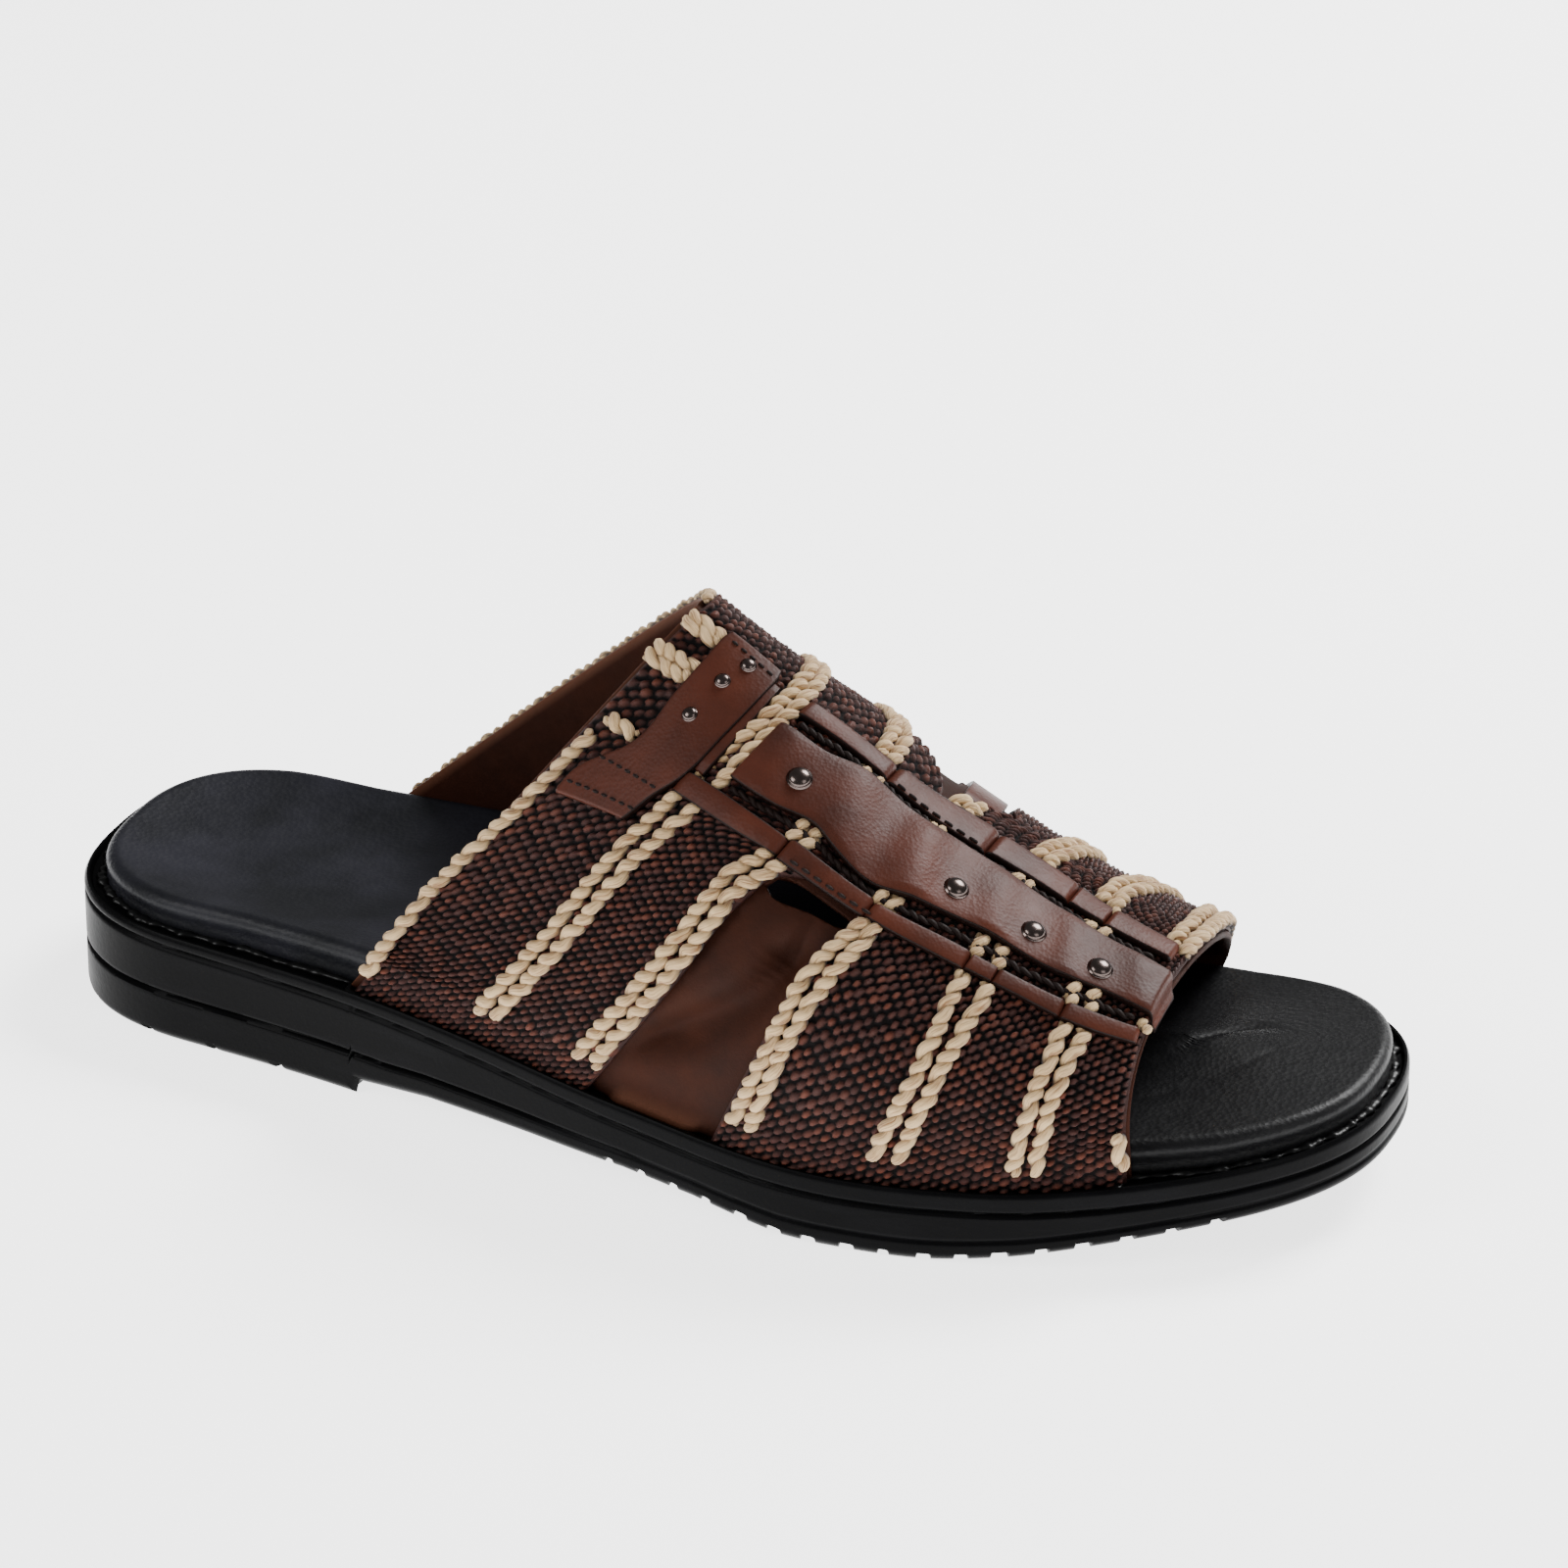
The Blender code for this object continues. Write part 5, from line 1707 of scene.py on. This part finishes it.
@dataclass
class Sole:
    """Rubber sole, footbed and the glue between them."""

    palette: Palette
    stations: int = 520
    wall_rows: int = 60
    under_rows: int = 14
    tray_steps: tuple[float, ...] = (0.012, 0.0016, 0.0010)
    under_spread: float = 1.5
    sharp_angle: float = 40.0
    groove_depth: float = 0.0008
    upper_groove_share: Table = ((0.0, 0.5), (0.6, 1.0), (1.0, 1.0))
    lower_groove_strength: Table = ((0.0, 1.5), (0.42, 1.5), (0.52, 0.5), (1.0, 0.5))
    groove_half: float = 0.0007
    upper_groove_drop: float = 0.0046
    lower_groove_drop: float = 0.0140
    lug_width: float = 0.0024
    lug_depth: float = 0.0020
    lug_reach: float = 0.0070
    heel_lug_pitch: float = 0.0160
    toe_lug_pitch: float = 0.0078
    toe_lugs: tuple[float, float] = (0.49, 0.93)
    lower_groove_share: float = 0.70
    rim_round: float = 0.0005
    rim_round_height: float = 0.0012
    foot_round: float = 0.0018
    foot_round_height: float = 0.0025
    lug_inset: float = 0.0012
    first_heel_lug: float = 0.6
    lug_soft: tuple[float, float] = (0.7, 1.2)
    middle_ends: float = 0.045
    glue_radius: float = 0.0009
    glue_stations: int = 900
    glue_sides: int = 8
    glue_held: float = 0.012
    glue_held_thin: float = 0.35
    glue_flat: float = 0.8
    glue_wide: float = 1.15
    glue_lift: float = 0.0002
    glue_from_bed: float = 0.0004
    glue_from_rim: float = 0.0019
    glue_sway: float = 0.0003
    bed_waist: float = 0.0004
    bowl_squareness: float = 2.4
    bed_stations: int = 720
    bed_side_rows: int = 8
    bed_round_rows: int = 8
    bed_top_rows: int = 60
    smooth_reach: float = 0.016
    smooth_rounds: int = 24
    arch_along: tuple[float, float] = (0.42, 0.13)
    arch_across: tuple[float, float] = (0.6, 0.4)
    # Creases of the footbed: a line in x and y, its depth and its half width
    creases: tuple[tuple[Table, float, float], ...] = (
        (
            ((0.094, -0.002), (0.0995, 0.0055), (0.1045, 0.0148), (0.109, 0.020), (0.115, 0.022)),
            0.0007,
            0.0014,
        ),
        (((0.098, -0.012), (0.109, -0.002), (0.1185, 0.0125)), 0.0003, 0.0016),
    )
    bed_edge: Table = ((0.0, 0.65), (0.12, 0.81), (0.50, 1.0), (1.0, 0.76))
    bed_spread: Table = ((0.0, 0.9), (0.08, 0.9), (0.15, 0.0), (0.87, 0.0), (0.93, 1.2), (1.0, 1.4))
    bed_dish: Table = (
        (0.0, 0.86), (0.12, 0.96), (0.30, 0.62), (0.50, 0.25), (0.70, 0.2), (0.85, 0.36), (1.0, 0.1),
    )

    def around(self, u: Array) -> tuple[Array, Array]:
        """Goes round the outline from the heel, over the toe and back.

        Args:
            u: Places from 0 to 1.

        Returns:
            Shares of the length, and sides: -1 lateral, 1 medial.
        """
        lateral = u < 0.5
        half = np.where(lateral, u * 2.0, 2.0 - u * 2.0)
        share = (1.0 - np.cos(half * math.pi)) / 2.0
        return share, np.where(lateral, -1.0, 1.0)

    def ring(
        self, share: Array, side: Array, inset: Array, height: Array, end_inset: Array | None = None
    ) -> Array:
        """Points of the outline that lies the inset inside the rim.

        Args:
            share: Share of the length.
            side: -1 lateral, 1 medial.
            inset: Distance inside the rim, sideways.
            height: Height of each point.
            end_inset: Distance inside the rim at the two ends, where it isn't the same.

        Returns:
            The points.
        """
        x = FORM.sole_x(share, inset if end_inset is None else end_inset)
        y = FORM.sole_y(share, side, inset) + FORM.side_shift
        return np.stack([x, y, height], axis=-1)

    def centre_inset(self, share: Array, side: Array) -> Array:
        """Measures how far inside the rim the middle line lies.

        Args:
            share: Share of the length.
            side: -1 lateral, 1 medial.

        Returns:
            The inset that reaches the middle line.
        """
        lateral = smooth_curve(FORM.outline, 1, share)
        medial = smooth_curve(FORM.outline, 2, share)
        return np.where(side < 0, lateral, medial) * FORM.ball_width

    def notches(self, share: Array) -> Array:
        """Places the notches of the tread's edge, under the heel and under the forefoot.

        Args:
            share: Share of the length.

        Returns:
            1 inside a notch and 0 outside.
        """
        heel = np.arange(int(FORM.heel_block / self.heel_lug_pitch)) + self.first_heel_lug
        start, end = self.toe_lugs
        count = int((end - start) * FORM.length / self.toe_lug_pitch)
        places = [index * self.heel_lug_pitch / FORM.length for index in heel]
        places += [start + index * self.toe_lug_pitch / FORM.length for index in range(count + 1)]
        open_at = np.zeros(share.shape)
        half = self.lug_width / 2.0 / FORM.length
        inner, outer = (half * part for part in self.lug_soft)
        for place in places:
            open_at = np.maximum(open_at, 1.0 - step_up(inner, outer, np.abs(share - place)))
        return open_at

    def wall_inset(self, share: Array, drop: Array, left: Array) -> Array:
        """Shapes the sole's side: rounded top and foot, and two grooves.

        Args:
            share: Share of the length.
            drop: Distance below the rim.
            left: Distance above the tread.

        Returns:
            How far each point stands inside the rim.
        """
        height = drop + left
        upper = self.upper_groove_drop * straight_curve(self.upper_groove_share, 1, share)
        lower = np.minimum(self.lower_groove_drop, self.lower_groove_share * height)
        deeper = straight_curve(self.lower_groove_strength, 1, share)
        inset = self.groove_depth * np.exp(-2.0 * ((drop - upper) / self.groove_half) ** 2)
        inset = inset + deeper * self.groove_depth * np.exp(-2.0 * ((drop - lower) / self.groove_half) ** 2)
        inset = inset + self.rim_round * np.clip(1.0 - drop / self.rim_round_height, 0.0, 1.0) ** 2
        return inset + self.foot_round * np.clip(1.0 - left / self.foot_round_height, 0.0, 1.0) ** 2

    def build_outsole(self) -> None:
        """The rubber sole: tray, rim, side and tread in one grid."""
        tray_rows = len(self.tray_steps) + 1
        rows = self.wall_rows + self.under_rows + tray_rows

        def place(u: Array, v: Array) -> tuple[Array, dict[str, Array]]:
            """Moves the grid over tray, rim, side and tread.

            Args:
                u: Share along.
                v: Share around.

            Returns:
                The points and their attributes.
            """
            share, side = self.around(u)
            rim = FORM.rim_z(share)
            tread = FORM.tread_z(share)
            row = np.rint(v * rows).astype(int)
            drop = np.clip((row - tray_rows) / self.wall_rows, 0.0, 1.0) * (rim - tread)
            left = rim - tread - drop
            inset = self.wall_inset(share, drop, left)
            notch = self.notches(share)
            near = (left < self.lug_depth * 1.05) & (notch > 0.5)
            inset = inset + np.where(near, self.lug_inset, 0.0)
            height = np.where(near, np.maximum(rim - drop, tread + self.lug_depth), rim - drop)
            end_inset = inset
            middle = self.centre_inset(share, side)
            tray = row < tray_rows
            which = np.clip(row, 0, tray_rows - 1)
            inset = np.where(tray, np.choose(which, [middle, *self.tray_steps]), inset)
            end_inset = np.where(tray, np.choose(which, [self.middle_ends, *self.tray_steps]), end_inset)
            height = np.where(tray, rim - np.where(row < tray_rows - 1, FORM.tray_depth, 0.0), height)
            under = row > self.wall_rows + tray_rows
            part = np.clip((row - self.wall_rows - tray_rows) / self.under_rows, 0.0, 1.0)
            part = part**self.under_spread
            under_inset = self.foot_round + (middle - self.foot_round) * part
            under_ends = self.foot_round + (self.middle_ends - self.foot_round) * part
            reach = (under_inset < self.lug_reach) & (notch > 0.5)
            inset = np.where(under, under_inset, inset)
            end_inset = np.where(under, under_ends, end_inset)
            place_share = (FORM.sole_x(share, under_ends) + FORM.length / 2.0) / FORM.length
            below = FORM.tread_z(place_share) + np.where(reach, self.lug_depth, 0.0)
            height = np.where(under, below, height)
            return self.ring(share, side, inset, height, end_inset), {}

        data = shaped_grid("outsole_rubber", self.stations * 2, rows, place)
        data.set_sharp_from_angle(angle=math.radians(self.sharp_angle))
        add_piece(data, self.palette.rubber, ["outsole"])

    def bed_inset(self, share: Array) -> Array:
        """How far the footbed's side stands inside the rim."""
        return FORM.lining_inset + FORM.fit - straight_curve(self.bed_spread, 1, share) * FORM.rim_lip

    def build_glue(self) -> None:
        """An uneven bead of glue on the ledge, against the footbed and the upper's foot."""

        def place(u: Array, v: Array) -> tuple[Array, dict[str, Array]]:
            """Moves the grid round the bead.

            Args:
                u: Share along.
                v: Share around.

            Returns:
                The points and their attributes.
            """
            share, side = self.around(u)
            turn = 2.0 * math.pi * u
            base = np.where(side[:, None] < 0.0, [FORM.lateral_base], [FORM.medial_base])
            start, end = base[:, 0], base[:, 1]
            held = step_up(start - self.glue_held, start, share)
            held = held * (1.0 - step_up(end, end + self.glue_held, share))
            swell = 1.0 + 0.3 * np.sin(turn * 61.0 + 2.0 * np.sin(turn * 17.0)) + 0.25 * np.sin(turn * 143.0)
            radius = self.glue_radius * swell * (1.0 - self.glue_held_thin * held)
            bed = self.bed_inset(share)
            inset = bed - self.glue_from_bed - (bed - self.glue_from_rim) * held
            inset = inset + self.glue_sway * np.sin(turn * 37.0 + 3.0 * np.sin(turn * 9.0))
            angle = v * 2.0 * math.pi
            height = FORM.tray_z(share) + self.glue_lift + radius * self.glue_flat * np.sin(angle)
            return self.ring(share, side, inset - radius * self.glue_wide * np.cos(angle), height), {}

        data = shaped_grid("sole_glue_bead", self.glue_stations, self.glue_sides, place)
        add_piece(data, self.palette.glue)

    def build_footbed(self) -> None:
        """The leather-covered footbed."""
        side_rows = self.bed_side_rows
        round_rows = self.bed_round_rows
        top_rows = self.bed_top_rows
        rows = side_rows + round_rows + top_rows

        def place(u: Array, v: Array) -> tuple[Array, dict[str, Array]]:
            """Moves the grid up the side, round the edge and over the top to the middle line.

            Args:
                u: Share along.
                v: Share around.

            Returns:
                The points and their attributes.
            """
            share, side = self.around(u)
            inset = self.bed_inset(share)
            edge = FORM.rim_z(share) + smooth_curve(self.bed_edge, 1, share) * FORM.footbed_rise
            low = FORM.tray_z(share) + FORM.fit
            row = np.rint(v * rows).astype(int)
            up = np.clip(row / side_rows, 0.0, 1.0)
            turn = np.clip((row - side_rows) / round_rows, 0.0, 1.0) * math.pi / 2.0
            height = low + (edge - FORM.footbed_round - low) * up + FORM.footbed_round * np.sin(turn)
            inset = inset + FORM.footbed_round * (1.0 - np.cos(turn))
            inset = inset + self.bed_waist * np.sin(math.pi * up) ** 2
            part = np.clip((row - side_rows - round_rows) / top_rows, 0.0, 1.0)
            end_inset = inset + (self.middle_ends - inset) * part
            inset = inset + (self.centre_inset(share, side) - inset) * part
            across = side * (1.0 - part)
            bowl = smooth_curve(self.bed_dish, 1, share) * FORM.heel_cup
            height = height - bowl * (1.0 - np.abs(across) ** self.bowl_squareness)
            arch = FORM.arch_pad * np.exp(-(((share - self.arch_along[0]) / self.arch_along[1]) ** 2))
            across_arch = np.exp(-(((across - self.arch_across[0]) / self.arch_across[1]) ** 2))
            height = height + arch * across_arch * (part > 0.0)
            points = self.ring(share, side, inset, height, end_inset)
            points[:, 2] -= self.bed_creases(points) * (part > 0.0)
            return points, {}

        data = shaped_grid("footbed_leather", self.bed_stations, rows, place)
        self.smooth_ends(data)
        add_piece(data, self.palette.footbed, ["footbed"])

    def smooth_ends(self, data: bpy.types.Mesh) -> None:
        """Evens out the footbed's top where its middle line ends.

        Args:
            data: The footbed's mesh.
        """
        mesh = bmesh.new()
        mesh.from_mesh(data)
        start = FORM.length / 2.0 - self.middle_ends - self.smooth_reach
        near = [
            vert
            for vert in mesh.verts
            if abs(vert.co.x) > start
            and abs(vert.co.x) < start + 2.0 * self.smooth_reach
            and abs(vert.co.y - FORM.side_shift - FORM.toe_drift / 2.0) < self.smooth_reach
            and vert.normal.z > 0.9
        ]
        for _ in range(self.smooth_rounds):
            bmesh.ops.smooth_vert(
                mesh, verts=near, factor=0.5, use_axis_x=True, use_axis_y=True, use_axis_z=True
            )
        mesh.to_mesh(data)
        mesh.free()

    def bed_creases(self, points: Array) -> Array:
        """Lays the soft creases in the footbed's toe area.

        Args:
            points: Points of the footbed's top.

        Returns:
            How far each point sinks.
        """
        depth = np.zeros(len(points))
        for line, deep, wide in self.creases:
            rows = np.asarray(line)
            middle = smooth_curve(line, 1, points[:, 0])
            beyond = np.maximum(rows[0, 0] - points[:, 0], points[:, 0] - rows[-1, 0])
            fade = 1.0 - step_up(-0.008, 0.004, beyond)
            depth = depth + deep * fade * np.exp(-(((points[:, 1] - middle) / wide) ** 2))
        return depth

    def build(self) -> None:
        """Builds the sole, the footbed and the glue."""
        self.build_outsole()
        self.build_footbed()
        self.build_glue()


@dataclass(frozen=True)
class SoftLight:
    """A square soft light that faces the shoe."""

    name: str
    place: tuple[float, float, float]
    size: float
    power: float
    aim: tuple[float, float, float] = (0.0, 0.0, 0.03)

    def build(self) -> None:
        """Hangs the light."""
        data = bpy.data.lights.new(self.name, "AREA")
        data.shape = "SQUARE"
        data.size = self.size
        data.energy = self.power
        light = bpy.data.objects.new(self.name, data)
        light.location = self.place
        light.rotation_mode = "QUATERNION"
        light.rotation_quaternion = (Vector(self.aim) - Vector(self.place)).to_track_quat("-Z", "Y")
        bpy.context.scene.collection.objects.link(light)


@dataclass
class Studio:
    """Camera, floor and soft light."""

    azimuth: float = 24.3036
    elevation: float = 29.3174
    distance: float = 1.7186
    focal: float = 189.94
    target: tuple[float, float, float] = (0.0, 0.0031, 0.020)
    aim_right: float = 0.01257
    aim_up: float = 0.04277
    floor_size: float = 4.0
    floor_glow: float = 2.6
    lights: tuple[SoftLight, ...] = (
        SoftLight("key", (0.45, 0.98, 1.10), 0.7, 40.0),
        SoftLight("fill", (-0.9, -1.1, 1.1), 0.8, 16.0),
        SoftLight("front", (1.2, -0.5, 0.8), 0.6, 3.0),
    )
    world_strength: float = 0.2

    def axes(self) -> tuple[Vector, Vector, Vector]:
        """Works out how the camera stands.

        Returns:
            The directions to the camera, to its right and up.
        """
        a = math.radians(self.azimuth)
        e = math.radians(self.elevation)
        back = Vector((math.sin(a) * math.cos(e), -math.cos(a) * math.cos(e), math.sin(e)))
        right = Vector((math.cos(a), math.sin(a), 0.0))
        up = Vector((-math.sin(a) * math.sin(e), math.cos(a) * math.sin(e), math.cos(e)))
        return back, right, up

    def build_camera(self) -> None:
        """The camera at the photo's angle."""
        back, right, up = self.axes()
        place = Vector(self.target) + back * self.distance
        aim = Vector(self.target) + right * self.aim_right + up * self.aim_up
        data = bpy.data.cameras.new("camera")
        data.lens = self.focal
        data.sensor_width = 36.0
        camera = bpy.data.objects.new("camera", data)
        camera.location = place
        camera.rotation_mode = "QUATERNION"
        camera.rotation_quaternion = (aim - place).to_track_quat("-Z", "Y")
        bpy.context.scene.collection.objects.link(camera)
        bpy.context.scene.camera = camera

    def build_floor(self) -> None:
        """A plain white floor."""
        mesh = bmesh.new()
        bmesh.ops.create_grid(mesh, x_segments=1, y_segments=1, size=self.floor_size)
        data = bpy.data.meshes.new("floor")
        mesh.to_mesh(data)
        mesh.free()
        floor = bpy.data.objects.new("floor", data)
        bpy.context.scene.collection.objects.link(floor)
        shade = Shade("floor_white", 0.7)
        shade.set("Base Color", colour(250, 250, 250))
        shade.set("Emission Color", colour(255, 255, 255))
        shade.set("Emission Strength", self.floor_glow)
        data.materials.append(shade.material)

    def build(self) -> None:
        """Camera, floor, lights and a pale world."""
        self.build_camera()
        self.build_floor()
        for light in self.lights:
            light.build()
        world = bpy.data.worlds.new("studio")
        world.use_nodes = True
        world.node_tree.nodes["Background"].inputs["Color"].default_value = (1.0, 1.0, 1.0, 1.0)
        world.node_tree.nodes["Background"].inputs["Strength"].default_value = self.world_strength
        bpy.context.scene.world = world


def main() -> None:
    """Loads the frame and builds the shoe's looks."""
    logging.basicConfig(level=logging.INFO)
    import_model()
    Studio().build()
    palette = Palette()
    Sole(palette).build()
    Upper(palette).build()


if __name__ == "__main__":
    main()
